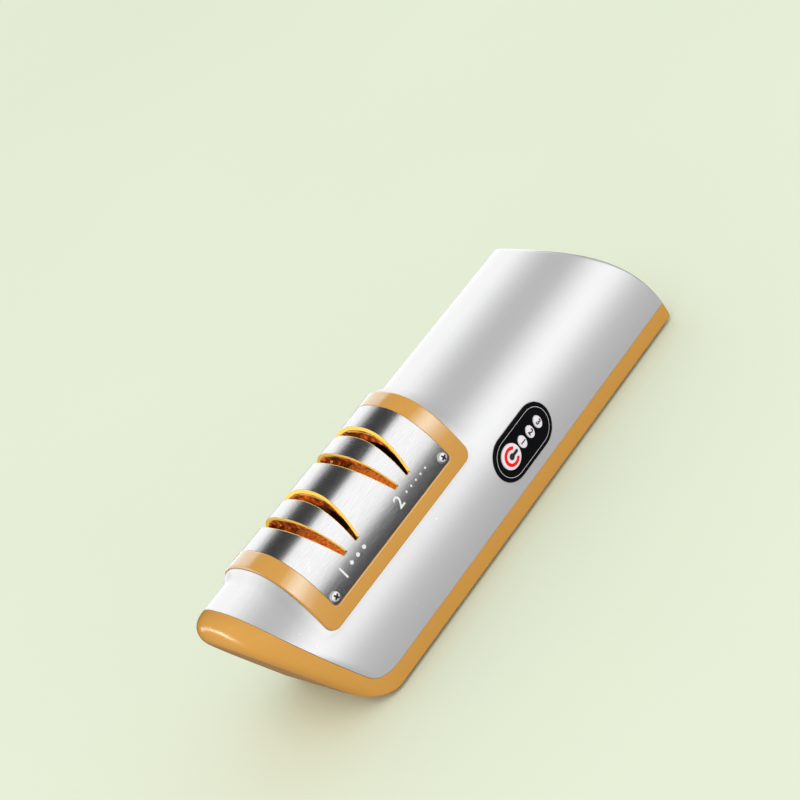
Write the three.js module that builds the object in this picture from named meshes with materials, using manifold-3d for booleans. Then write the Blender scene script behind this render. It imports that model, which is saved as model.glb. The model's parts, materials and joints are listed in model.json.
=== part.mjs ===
// An electric knife sharpener: a long arched body that stands on its flat base, with a two-stage
// grinding module over the near end and a control panel low on the front flank.
// Millimetres. X runs along the body, from the sharpening end (-X) to the motor's end (+X), the front
// flank with the control panel faces -Y, and +Z is up. The rubber feet stand on Z = 0.
import * as THREE from 'three';
import { mergeVertices } from 'three/addons/utils/BufferGeometryUtils.js';
import Module from 'manifold-3d';

const wasm = await Module();
wasm.setup();

// Body
const LENGTH = 221;
const WIDTH = 50;
const HEIGHT = 60.5;
const ARCH_POWER = 2.4;
const WALL = 2;
const FLOOR = 2.4;
const GAP = 0.3;
const CUT = 6;

// Near end: a flat face that leans out over the foot, with a large rounded edge that takes its
// top in from the full length
const NEAR_RAKE_SHARE = 0.46;
const NEAR_SET_BACK = 0.9;
const NEAR_EDGE = 9;
// Far end: a face that rounds back towards the crown
const FAR_DROP = 33.4;
const FAR_FOOT_LEAN_SHARE = 0.12;
const FAR_EDGE = 3;

// Parting line between the gold base and the white shell
const RIM_HEIGHT = 7.4;
const CORNER_RISE = 6.4;
const CORNER_RUN = 14.5;
const CAP_FOOT_WIDTH = 7.4;
const CAP_WAIST_WIDTH = 7.4;
const CAP_CROWN_WIDTH = 11.4;
const WAIST_HEIGHT_SHARE = 0.68;
const LIP_HEIGHT = 2.4;
const LIP_THICKNESS = 1;

// Grinding module: gold saddle frame, steel plate and the slot guide under it
const MODULE_FROM_CROWN = 70.1;
const FRAME_LENGTH = 82.5;
const FRAME_FOOT = 35.9;
const FRAME_CORNER = 4;
const FRAME_PROUD = 2.8;
const FRAME_ROUND = 0.9;
const PLATE_LENGTH = 67.8;
const PLATE_FOOT = 41.3;
const PLATE_CORNER = 1.6;
const PLATE_THICKNESS = 0.8;
const PLATE_SET_BACK = 0.2;
const COLLAR_PROUD = 1.9;
const COLLAR_RIM = 1.2;
const COLLAR_END_RUN = 2.9;
const COLLAR_FOOT_RUN = 1.4;
const GUIDE_FLANGE = 1.5;

// Slots: two pairs, each pair splayed like a V over its wheel; web and width are measured at the
// slots' floor, and a slot flares towards the crown
const STAGE_SPACING = 29.9;
const SLOT_WEB = 4.6;
const SLOT_WIDTH = 2.3;
const SLOT_FLOOR = 49.2;
const SLOT_SPLAY_SHARE = 0.135;
const SLOT_FLARE_SHARE = 0.175;
const GUIDE_SLOT_WIDTH = 1.9;
const GUIDE_SLOT_DEEPER = 0.4;

// Wheels, shaft and bearings
const SHAFT_HEIGHT = 34.4;
const SHAFT_RADIUS = 2.5;
const WHEEL_THICKNESS = 6.4;
const WHEEL_BEVEL = 0.6;
const HUB_RADIUS = 8;
const HUB_PROUD = 0.8;
const HUB_STEP = 5.5;
const FIT = 0.15;
const RUNNING_FIT = 0.06;
const SLEEVE_RADIUS = 4;
const BEARING_RADIUS = 5;
const BEARING_LENGTH = 4;

// Wheel chamber: the black tub that holds the bearings and catches the swarf
const CHAMBER_LENGTH = 58;
const CHAMBER_CLEARANCE = 0.8;
const CHAMBER_FROM_SHELL = 1.05;
const CHAMBER_WALL = 1.2;
const CHAMBER_END_WALL = 3;
const CHAMBER_FOOT_WIDTH = 30;
const CHAMBER_TOWER_WIDTH = 16;
const CHAMBER_TOWER_RISE = 8;

// Drive
const COUPLING_RADIUS = 5;
const COUPLING_LENGTH = 9;
const COUPLING_FROM_CHAMBER = 3.2;
const MOTOR_SHAFT_RADIUS = 1.5;
const MOTOR_SHAFT_STUB = 1.6;
const MOTOR_SHAFT_DEPTH = 5;
const MOTOR_RADIUS = 11;
const MOTOR_LENGTH = 30;
const MOTOR_NOSE_RADIUS = 4;
const MOTOR_NOSE = 1.2;
const MOTOR_CAP_LENGTH = 5;
const MOTOR_ROUND = 1.2;

// Battery and the cradle that carries it with the motor
const CELL_RADIUS = 9;
const CELL_LENGTH = 65;
const CELL_FROM_CHARGE_BOARD = 6.6;
const CELL_BUTTON_RADIUS = 3;
const CELL_BUTTON = 0.8;
const CRADLE_FLOOR = 1.5;
const CRADLE_WALL = 3;
const CRADLE_WIDTH = 24;
const CRADLE_FROM_BOARD = 1.8;
const CRADLE_SPARE = 2;

// Control panel
const PANEL_FROM_MODULE = 20.55;
const PANEL_HEIGHT = 20.7;
const PANEL_LENGTH = 32;
const PANEL_WIDTH = 16.4;
const PANEL_PROUD = 0.3;
const PANEL_FLANGE = 1.5;
const PANEL_FLANGE_THICKNESS = 1.2;
const BUTTON_PROUD = 0.6;
const BUTTON_TRAVEL = 0.7;
const BUTTON_FLANGE = 0.4;
const BUTTON_FLANGE_THICKNESS = 0.8;
const BUTTON_ROUND = 0.3;
const POWER_PLACE_SHARE = -0.228;
const FIRST_KEY_PLACE_SHARE = 0.003;
const KEY_PITCH_SHARE = 0.15;
const KEY_BETWEEN = 1.1;
const KEY_FROM_POWER = 0.8;
const KEY_WIDTH = 5.1;
const SWITCH_BETWEEN = 1.2;
const SWITCH_BODY = 1.8;
const SWITCH_PLUNGER = 0.7;
const SWITCH_PLUNGER_RADIUS = 0.9;
const BOARD_THICKNESS = 1.2;
const BOARD_WIDTH = 15;
const POST_RADIUS = 1.1;
const POST_FROM_END_SHARE = 0.0594;

// Charging inlet in the far end
const PORT_HEIGHT = 14.5;
const PORT_WIDTH = 9;
const PORT_THICKNESS = 3.3;
const PORT_DEPTH = 7.4;
const PORT_WALL = 0.4;
const PORT_TONGUE = 0.7;
const PORT_TONGUE_WIDTH = 6;
const CHARGE_BOARD_LENGTH = 16;
const CHARGE_BOARD_FROM_BOSS = 3.1;
const RIB_THICKNESS = 2;
const RIB_FROM_AXIS = 6;

// Feet and fasteners
const FOOT_RADIUS = 5;
const FOOT_PROUD = 1.2;
const FOOT_RECESS = 0.6;
const FOOT_ROUND = 0.4;
const FOOT_FROM_SIDE = 8.5;
const NEAR_FOOT_FROM_CROWN = 48.5;
const FAR_FOOT_FROM_END = 26.5;
const BOSS_RADIUS = 3.4;
const BOSS_TOP = 10;
const BOSS_FROM_SIDE = 9.5;
const NEAR_BOSS_FROM_CROWN = 36.9;
const FAR_BOSS_FROM_END = 16;
const BOSS_POST_TOP = 36;
const SCREW_RADIUS = 1.4;
const SCREW_HEAD_RADIUS = 2.6;
const SCREW_HEAD = 1.8;
const SCREW_SINK = 1.3;
const SCREW_BITE = 6;
const PAN_RADIUS = 1.9;
const PAN_HEIGHT = 0.9;
const PAN_SHANK_RADIUS = 0.8;
const PAN_FROM_EDGE = 2.3;
const CROSS_WIDTH = 0.55;
const CROSS_SPAN_SHARE = 1.3;
const CROSS_DEPTH_SHARE = 0.55;

// Facet counts
const ARCH_STEPS = 26;
const INNER_ARCH_STEPS = 13;
const ROUND_STEPS = 16;
const WHEEL_STEPS = 32;
const SMALL_ROUND_STEPS = 8;
const EDGE_STEPS = 3;
const INNER_EDGE_STEPS = 1;
const CORNER_STEPS = 3;
const PARTING_STEPS = 8;
const END_RINGS = 3;

const colours = {
  gold: { color: 0xd29b48, roughness: 0.3, metalness: 0.1 },
  pearl: { color: 0xe4e4e6, roughness: 0.25, metalness: 0.2 },
  steel: { color: 0xc8c8cc, roughness: 0.3, metalness: 1 },
  liner: { color: 0xe9b840, roughness: 0.5, metalness: 0 },
  black: { color: 0x121214, roughness: 0.5, metalness: 0 },
  coarseGrit: { color: 0xb8531c, roughness: 0.95, metalness: 0 },
  fineGrit: { color: 0xc9622a, roughness: 0.9, metalness: 0 },
  bronze: { color: 0xb0803c, roughness: 0.4, metalness: 0.9 },
  rubber: { color: 0x2a2a2c, roughness: 0.9, metalness: 0 },
  button: { color: 0xe8dfe0, roughness: 0.35, metalness: 0 },
  board: { color: 0x1f6b3a, roughness: 0.6, metalness: 0 },
  cell: { color: 0x2f6fb0, roughness: 0.4, metalness: 0 },
};

const part = new THREE.Group();
const body = new THREE.Group();
body.position.z = FOOT_PROUD;
part.add(body);

// Helpers: geometry to solid and back, and placed meshes

function toSolid(geometry) {
  const merged = mergeVertices(stripped(geometry), GAP / LENGTH);
  return new wasm.Manifold(new wasm.Mesh({
    numProp: 3,
    vertProperties: new Float32Array(merged.attributes.position.array),
    triVerts: new Uint32Array(merged.index.array),
  }));
}

function toGeometry(solid) {
  const mesh = solid.getMesh();
  const points = new Float32Array((mesh.vertProperties.length / mesh.numProp) * 3);
  for (let i = 0; i < points.length / 3; i += 1) {
    for (let k = 0; k < 3; k += 1) points[3 * i + k] = mesh.vertProperties[mesh.numProp * i + k];
  }
  const geometry = new THREE.BufferGeometry();
  geometry.setAttribute('position', new THREE.BufferAttribute(points, 3));
  geometry.setIndex(Array.from(mesh.triVerts));
  geometry.computeVertexNormals();
  return geometry;
}

function addMesh(parent, name, geometry, colour) {
  const mesh = new THREE.Mesh(geometry, new THREE.MeshStandardMaterial(colours[colour]));
  mesh.name = name;
  parent.add(mesh);
  return mesh;
}

function union(solids) {
  return solids.reduce((whole, piece) => whole.add(piece));
}

function cutAll(solid, cutters) {
  return cutters.reduce((rest, cutter) => rest.subtract(cutter), solid);
}

// Shapes in a plane, and prisms of them along each axis

function polygon(points) {
  return new THREE.Shape(points.map(([u, v]) => new THREE.Vector2(u, v)));
}

function roundedBox(x0, x1, y0, y1, radius) {
  const shape = new THREE.Shape();
  shape.moveTo(x0 + radius, y0);
  shape.lineTo(x1 - radius, y0);
  shape.absarc(x1 - radius, y0 + radius, radius, -Math.PI / 2, 0, false);
  shape.lineTo(x1, y1 - radius);
  shape.absarc(x1 - radius, y1 - radius, radius, 0, Math.PI / 2, false);
  shape.lineTo(x0 + radius, y1);
  shape.absarc(x0 + radius, y1 - radius, radius, Math.PI / 2, Math.PI, false);
  shape.lineTo(x0, y0 + radius);
  shape.absarc(x0 + radius, y0 + radius, radius, Math.PI, 1.5 * Math.PI, false);
  return shape;
}

// A shape drawn in (Y, Z), pushed along X from x0 to x1
function prismX(shape, x0, x1, steps = CORNER_STEPS) {
  const geometry = new THREE.ExtrudeGeometry(shape, {
    depth: x1 - x0, bevelEnabled: false, steps: 1, curveSegments: steps,
  });
  geometry.applyMatrix4(new THREE.Matrix4().makeBasis(
    new THREE.Vector3(0, 1, 0), new THREE.Vector3(0, 0, 1), new THREE.Vector3(1, 0, 0)));
  return geometry.translate(x0, 0, 0);
}

// A shape drawn in (X, Z), pushed across the whole width, or from y0 to y1
function prismY(shape, y0 = -WIDTH, y1 = WIDTH, steps = CORNER_STEPS) {
  const geometry = new THREE.ExtrudeGeometry(shape, {
    depth: y1 - y0, bevelEnabled: false, steps: 1, curveSegments: steps,
  });
  geometry.applyMatrix4(new THREE.Matrix4().makeBasis(
    new THREE.Vector3(1, 0, 0), new THREE.Vector3(0, 0, 1), new THREE.Vector3(0, -1, 0)));
  return geometry.translate(0, y1, 0);
}

function prismZ(shape, z0, z1) {
  const geometry = new THREE.ExtrudeGeometry(shape, {
    depth: z1 - z0, bevelEnabled: false, steps: 1, curveSegments: CORNER_STEPS,
  });
  return geometry.translate(0, 0, z0);
}

function box(x0, x1, y0, y1, z0, z1) {
  const geometry = new THREE.BoxGeometry(x1 - x0, y1 - y0, z1 - z0);
  return geometry.translate((x0 + x1) / 2, (y0 + y1) / 2, (z0 + z1) / 2);
}

// A turned piece about the shaft's line; the profile gives [x, radius] and closes on itself
function turnedX(profile, steps = ROUND_STEPS, height = SHAFT_HEIGHT) {
  const loop = [...profile, profile[0]].map(([x, radius]) => new THREE.Vector2(radius, x));
  const geometry = new THREE.LatheGeometry(loop, steps);
  geometry.applyMatrix4(new THREE.Matrix4().makeBasis(
    new THREE.Vector3(0, 1, 0), new THREE.Vector3(1, 0, 0), new THREE.Vector3(0, 0, -1)));
  return geometry.translate(0, 0, height);
}

function cylinderZ(radius, z0, z1, x, y, steps = SMALL_ROUND_STEPS) {
  const geometry = new THREE.CylinderGeometry(radius, radius, z1 - z0, steps);
  return geometry.rotateX(Math.PI / 2).translate(x, y, (z0 + z1) / 2);
}

// A ring of revolution must come out with its faces pointing out whichever way its profile runs
function outward(geometry) {
  const solid = mergeVertices(stripped(geometry), GAP / LENGTH);
  const p = solid.attributes.position;
  const index = solid.index.array;
  const a = new THREE.Vector3();
  const b = new THREE.Vector3();
  const c = new THREE.Vector3();
  let volume = 0;
  for (let i = 0; i < index.length; i += 3) {
    a.fromBufferAttribute(p, index[i]);
    b.fromBufferAttribute(p, index[i + 1]);
    c.fromBufferAttribute(p, index[i + 2]);
    volume += a.dot(b.cross(c));
  }
  if (volume < 0) {
    for (let i = 0; i < index.length; i += 3) {
      [index[i], index[i + 1]] = [index[i + 1], index[i]];
    }
  }
  solid.computeVertexNormals();
  return solid;
}

function stripped(geometry) {
  const plain = geometry.clone();
  plain.deleteAttribute('normal');
  plain.deleteAttribute('uv');
  return plain;
}

// The arch: a superellipse over the base; `out` moves it off the shell's outer face

function archAngle(z, out) {
  return Math.asin(Math.min(1, z / (HEIGHT + out)) ** (ARCH_POWER / 2));
}

function archPoint(angle, out) {
  const c = Math.cos(angle);
  const s = Math.sin(angle);
  const y = -(WIDTH / 2 + out) * Math.sign(c) * Math.abs(c) ** (2 / ARCH_POWER);
  return [y, (HEIGHT + out) * Math.abs(s) ** (2 / ARCH_POWER)];
}

function archCurve(out, zLow, steps = ARCH_STEPS) {
  const start = archAngle(Math.max(zLow, 0), out);
  const points = [];
  for (let i = 0; i <= steps; i += 1) {
    points.push(archPoint(start + (i / steps) * (Math.PI - 2 * start), out));
  }
  return points;
}

// Outward direction of the arch on the front flank at height z, in (Y, Z)
function archNormal(z, out) {
  const [y] = archPoint(archAngle(z, out), out);
  const ny = -((Math.abs(y) / (WIDTH / 2 + out)) ** (ARCH_POWER - 1)) / (WIDTH / 2 + out);
  const nz = ((z / (HEIGHT + out)) ** (ARCH_POWER - 1)) / (HEIGHT + out);
  const size = Math.hypot(ny, nz);
  return [ny / size, nz / size];
}

// A layer of the arch between two offsets, over a stretch of X
function archLayer(inner, outer, x0, x1, zLow) {
  return prismX(polygon([...archCurve(outer, zLow), ...archCurve(inner, zLow).reverse()]), x0, x1);
}

// The ends of the body

const nearSlope = Math.hypot(1, NEAR_RAKE_SHARE);
const nearFoot = -LENGTH / 2 + NEAR_SET_BACK + NEAR_RAKE_SHARE * HEIGHT;

function nearEnd(z) {
  return nearFoot - NEAR_RAKE_SHARE * z;
}

function farEnd(z) {
  const share = z / HEIGHT;
  const lean = FAR_FOOT_LEAN_SHARE * HEIGHT;
  return LENGTH / 2 - lean * share - (FAR_DROP - lean) * share * share;
}

// The body's form with its walls moved in: rings of the arched section from end to end, each end
// closed by rings that shrink over its face
function bodyForm(inset, floor, nearEdge, farEdge, archSteps = ARCH_STEPS, edgeSteps = EDGE_STEPS) {
  const ring = (extra, shrink, xAt) => {
    const middle = HEIGHT / 2;
    return archCurve(-inset - extra, floor + extra, archSteps).map(([y, z]) => {
      const zz = middle + (z - middle) * shrink;
      return [xAt(zz), y * shrink, zz];
    });
  };
  const rings = [];
  const near = (depth) => (z) => nearEnd(z) + (depth + inset) * nearSlope;
  const far = (depth) => (z) => farEnd(z) - (depth + inset) * nearSlope;
  for (let k = END_RINGS - 1; k >= 1; k -= 1) rings.push(ring(nearEdge, 1 - k / END_RINGS, near(0)));
  for (let k = 0; k <= edgeSteps; k += 1) {
    const turn = (k / edgeSteps) * (Math.PI / 2);
    rings.push(ring(nearEdge * (1 - Math.sin(turn)), 1, near(nearEdge * (1 - Math.cos(turn)))));
  }
  for (let k = edgeSteps; k >= 0; k -= 1) {
    const turn = (k / edgeSteps) * (Math.PI / 2);
    rings.push(ring(farEdge * (1 - Math.sin(turn)), 1, far(farEdge * (1 - Math.cos(turn)))));
  }
  for (let k = 1; k < END_RINGS; k += 1) rings.push(ring(farEdge, 1 - k / END_RINGS, far(0)));
  return outward(ringSkin(rings, true));
}

const outerForm = () => toSolid(bodyForm(0, 0, NEAR_EDGE, FAR_EDGE));
const innerForm = (inset, floor) => toSolid(
  bodyForm(inset, floor, NEAR_EDGE - inset, FAR_EDGE / 2, INNER_ARCH_STEPS, INNER_EDGE_STEPS));

// Skin over rings of equal counts; the ends close on the middle of their ring, or the last ring joins
// the first
function ringSkin(rings, capped) {
  const count = rings[0].length;
  const points = rings.flat(2);
  const index = [];
  const total = capped ? rings.length - 1 : rings.length;
  for (let r = 0; r < total; r += 1) {
    const here = r * count;
    const next = ((r + 1) % rings.length) * count;
    for (let i = 0; i < count; i += 1) {
      const j = (i + 1) % count;
      index.push(here + i, next + i, next + j, here + i, next + j, here + j);
    }
  }
  if (capped) {
    for (const [r, flip] of [[0, false], [rings.length - 1, true]]) {
      const middle = points.length / 3;
      const sum = rings[r].reduce((s, q) => [s[0] + q[0], s[1] + q[1], s[2] + q[2]], [0, 0, 0]);
      points.push(...sum.map((value) => value / count));
      for (let i = 0; i < count; i += 1) {
        const j = (i + 1) % count;
        const a = r * count + i;
        const b = r * count + j;
        index.push(...(flip ? [middle, b, a] : [middle, a, b]));
      }
    }
  }
  const geometry = new THREE.BufferGeometry();
  geometry.setAttribute('position', new THREE.Float32BufferAttribute(points, 3));
  geometry.setIndex(index);
  return geometry;
}

// The parting line, moved into the shell by `shift`; below and near of it is the base's side
function partingRegion(shift, side) {
  const top = HEIGHT + CUT;
  const footZ = RIM_HEIGHT + CORNER_RISE;
  const footX = nearEnd(footZ) + CAP_FOOT_WIDTH;
  const waistZ = HEIGHT * WAIST_HEIGHT_SHARE;
  const waistX = nearEnd(waistZ) + CAP_WAIST_WIDTH;
  const crownX = nearEnd(HEIGHT) + CAP_CROWN_WIDTH;
  const lean = (footX - waistX) / (waistZ - footZ);
  const shape = new THREE.Shape();
  shape.moveTo(LENGTH + shift, RIM_HEIGHT + shift);
  shape.lineTo(footX + CORNER_RUN + shift, RIM_HEIGHT + shift);
  shape.quadraticCurveTo(footX + lean * CORNER_RISE + shift, RIM_HEIGHT + shift,
    footX + shift, footZ + shift);
  shape.quadraticCurveTo(waistX + shift, waistZ + shift, crownX + shift, HEIGHT + shift);
  shape.lineTo(crownX + shift, top + shift);
  if (side === 'base') {
    shape.lineTo(-LENGTH, top + shift);
    shape.lineTo(-LENGTH, -CUT);
    shape.lineTo(LENGTH + shift, -CUT);
  } else {
    shape.lineTo(LENGTH + shift, top + shift);
  }
  return prismY(shape, -WIDTH, WIDTH, PARTING_STEPS);
}

const moduleCentre = -LENGTH / 2 + MODULE_FROM_CROWN;

// Saddle outlines: a rounded rectangle seen from the side, bent over the crown

function saddleCutter(half, foot, radius) {
  const centre = moduleCentre;
  return prismY(roundedBox(centre - half, centre + half, foot, HEIGHT + 2 * CUT, radius));
}

// The line round a saddle at one offset: along the near edge over the crown, down round the corners,
// and back over the far edge
function saddleLine({ half, foot, radius, out }) {
  const centre = moduleCentre;
  const line = [];
  const low = archAngle(foot + radius, out);
  const corner = (sign, back, k) => {
    const turn = (k / CORNER_STEPS) * (Math.PI / 2);
    const x = centre + sign * (half - radius + radius * Math.cos(turn));
    const angle = archAngle(foot + radius - radius * Math.sin(turn), out);
    return [x, ...archPoint(back ? Math.PI - angle : angle, out)];
  };
  const edge = (sign, k) => {
    const angle = low + (k / ARCH_STEPS) * (Math.PI - 2 * low);
    return [centre + sign * half, ...archPoint(angle, out)];
  };
  for (let k = 0; k < ARCH_STEPS; k += 1) line.push(edge(-1, k));
  for (let k = 0; k <= CORNER_STEPS; k += 1) line.push(corner(-1, true, k));
  for (let k = CORNER_STEPS; k > 0; k -= 1) line.push(corner(1, true, k));
  for (let k = ARCH_STEPS; k > 0; k -= 1) line.push(edge(1, k));
  for (let k = 0; k <= CORNER_STEPS; k += 1) line.push(corner(1, false, k));
  for (let k = CORNER_STEPS; k > 0; k -= 1) line.push(corner(-1, false, k));
  return line;
}

function saddleRing(profile) {
  return outward(ringSkin(profile.map(saddleLine), false));
}

const frameHalf = FRAME_LENGTH / 2;
const plateHalf = PLATE_LENGTH / 2;
const plateTop = FRAME_PROUD - PLATE_SET_BACK;
const plateBottom = plateTop - PLATE_THICKNESS;
const windowHalf = plateHalf + GUIDE_FLANGE + GAP;
const windowFoot = PLATE_FOOT - GUIDE_FLANGE - GAP;
const stages = [
  { name: 'coarse', x: moduleCentre - STAGE_SPACING / 2, grit: 'coarseGrit' },
  { name: 'fine', x: moduleCentre + STAGE_SPACING / 2, grit: 'fineGrit' },
];

// The two slabs that cut a stage's slots, leaning apart from its wheel
function slotCutters(width, floor) {
  return stages.flatMap(({ x }) => [-1, 1].map((sign) => {
    const inner = (z) => x + sign * (SLOT_WEB / 2 + SLOT_SPLAY_SHARE * (z - SLOT_FLOOR));
    const outer = (z) => inner(z) + sign * (SLOT_WIDTH + SLOT_FLARE_SHARE * (z - SLOT_FLOOR));
    const spare = (SLOT_WIDTH - width) / 2;
    const top = HEIGHT + CUT;
    return toSolid(prismY(polygon(order([
      [inner(floor) + sign * spare, floor],
      [outer(floor) - sign * spare, floor],
      [outer(top) - sign * spare, top],
      [inner(top) + sign * spare, top],
    ], sign))));
  }));
}

function order(points, sign) {
  return sign > 0 ? points : points.reverse();
}

// Places of the plate's screws: one in each corner, square to the arch
const panPlaces = [-1, 1].flatMap((along) => [-1, 1].map((across) => {
  const z = PLATE_FOOT + PAN_FROM_EDGE;
  const [y] = archPoint(archAngle(z, plateTop), plateTop);
  const [ny, nz] = archNormal(z, plateTop);
  return {
    x: moduleCentre + along * (plateHalf - PAN_FROM_EDGE),
    y: -across * y,
    z,
    normal: new THREE.Vector3(0, -across * ny, nz),
  };
}));

function placeOn(geometry, place) {
  const turn = new THREE.Quaternion().setFromUnitVectors(new THREE.Vector3(0, 0, 1), place.normal);
  return geometry.applyQuaternion(turn).translate(place.x, place.y, place.z);
}

const panHoleRadius = PAN_SHANK_RADIUS + FIT;
const panHoles = () => panPlaces.map((place) => toSolid(
  placeOn(cylinderZ(panHoleRadius, -CUT, CUT, 0, 0), place)));

// Fasteners that hold the shell to the base
const bossEnds = [-LENGTH / 2 + NEAR_BOSS_FROM_CROWN, LENGTH / 2 - FAR_BOSS_FROM_END];
const footEnds = [-LENGTH / 2 + NEAR_FOOT_FROM_CROWN, LENGTH / 2 - FAR_FOOT_FROM_END];
const bossFromAxis = WIDTH / 2 - BOSS_FROM_SIDE;
const bossPlaces = bossEnds.flatMap((x) => [-1, 1].map((sign) => (
  { x, y: sign * bossFromAxis })));
const footPlaces = footEnds.flatMap((x) => [-1, 1].map((sign) => (
  { x, y: sign * (WIDTH / 2 - FOOT_FROM_SIDE) })));
const screwHoleRadius = SCREW_RADIUS + FIT;

// Control panel: a frame of its own on the front flank, +Z along the panel's outward direction
const panelNormal = archNormal(PANEL_HEIGHT, 0);
const panelTurn = new THREE.Matrix4().makeBasis(
  new THREE.Vector3(1, 0, 0),
  new THREE.Vector3(0, panelNormal[1], -panelNormal[0]),
  new THREE.Vector3(0, panelNormal[0], panelNormal[1]));
const panelCentre = moduleCentre + frameHalf + PANEL_FROM_MODULE;
const panelPlace = new THREE.Matrix4().setPosition(
  panelCentre, archPoint(archAngle(PANEL_HEIGHT, 0), 0)[0], PANEL_HEIGHT).multiply(panelTurn);

function pill(length, width) {
  return roundedBox(-length / 2, length / 2, -width / 2, width / 2, width / 2);
}

function oval(length, width, x) {
  const shape = new THREE.Shape();
  shape.absellipse(x, 0, length / 2, width / 2, 0, 2 * Math.PI, false, 0);
  return shape;
}

const keyPitch = PANEL_LENGTH * KEY_PITCH_SHARE;
const keyLength = keyPitch - KEY_BETWEEN;
const firstKey = PANEL_LENGTH * FIRST_KEY_PLACE_SHARE;
const powerPlace = PANEL_LENGTH * POWER_PLACE_SHARE;
const powerSize = 2 * (firstKey - powerPlace - KEY_FROM_POWER) - keyLength;
const keys = [
  { name: 'power_button', x: powerPlace, length: powerSize, width: powerSize },
  ...[0, 1, 2].map((k) => ({
    name: `key_${k + 1}`,
    x: firstKey + k * keyPitch,
    length: keyLength,
    width: KEY_WIDTH,
  })),
];
const switchSize = keyPitch - SWITCH_BETWEEN;
// How far the shell's inner face lies behind the panel's plane, at its deepest under the flange
const panelReach = PANEL_WIDTH / 2 + PANEL_FLANGE;
const panelFlangeTop = Math.min(...[-1, 0, 1].map((share) => {
  const z = PANEL_HEIGHT + share * panelReach;
  const [y0] = archPoint(archAngle(PANEL_HEIGHT, 0), 0);
  const [y] = archPoint(archAngle(z, -WALL), -WALL);
  return (y - y0) * panelNormal[0] + share * panelReach * panelNormal[1];
})) - GAP;
const panelBack = panelFlangeTop - PANEL_FLANGE_THICKNESS;
const buttonFlangeTop = panelBack - GAP;
const buttonBack = buttonFlangeTop - BUTTON_FLANGE_THICKNESS;
const plungerTop = buttonBack - BUTTON_TRAVEL - GAP / 2;
const boardTop = plungerTop - SWITCH_PLUNGER - SWITCH_BODY - GAP / 3;

// Charging inlet
const portFace = farEnd(PORT_HEIGHT) - GAP;

// Housing

function makeBase() {
  const outer = outerForm();
  const cavity = innerForm(WALL, FLOOR);
  const lipOuter = innerForm(WALL + GAP, 0);
  const lipCavity = innerForm(WALL + GAP + LIP_THICKNESS, FLOOR);
  const side = toSolid(partingRegion(0, 'base'));
  const wall = outer.intersect(side).subtract(cavity);
  const lipLow = toSolid(partingRegion(-LIP_HEIGHT, 'base'));
  const lipHigh = toSolid(partingRegion(LIP_HEIGHT, 'base'));
  const shelf = outer.intersect(side).subtract(lipLow).subtract(lipCavity);
  const lip = lipOuter.intersect(lipHigh).subtract(lipLow).subtract(lipCavity);
  const bosses = bossPlaces.map(({ x, y }) => toSolid(cylinderZ(BOSS_RADIUS, 0, BOSS_TOP, x, y))
    .intersect(outer));
  const boardRibs = [-1, 1].map((sign) => toSolid(box(
    portFace - CHARGE_BOARD_LENGTH + RIB_THICKNESS, portFace - PORT_DEPTH,
    sign * RIB_FROM_AXIS - RIB_THICKNESS / 2, sign * RIB_FROM_AXIS + RIB_THICKNESS / 2,
    0, chargeBoardBottom() - GAP)));
  const whole = union([wall, shelf, lip, ...bosses, ...boardRibs]);
  const holes = bossPlaces.flatMap(({ x, y }) => [
    toSolid(cylinderZ(screwHoleRadius, -CUT, BOSS_TOP + CUT, x, y)),
    toSolid(cylinderZ(SCREW_HEAD_RADIUS + FIT, -CUT, SCREW_SINK + SCREW_HEAD + GAP, x, y)),
  ]);
  const recesses = footPlaces.map(({ x, y }) => toSolid(
    cylinderZ(FOOT_RADIUS + GAP, -CUT, FOOT_RECESS, x, y, ROUND_STEPS)));
  addMesh(body, 'base_housing', toGeometry(cutAll(whole, [...holes, ...recesses])), 'gold');
}

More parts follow.
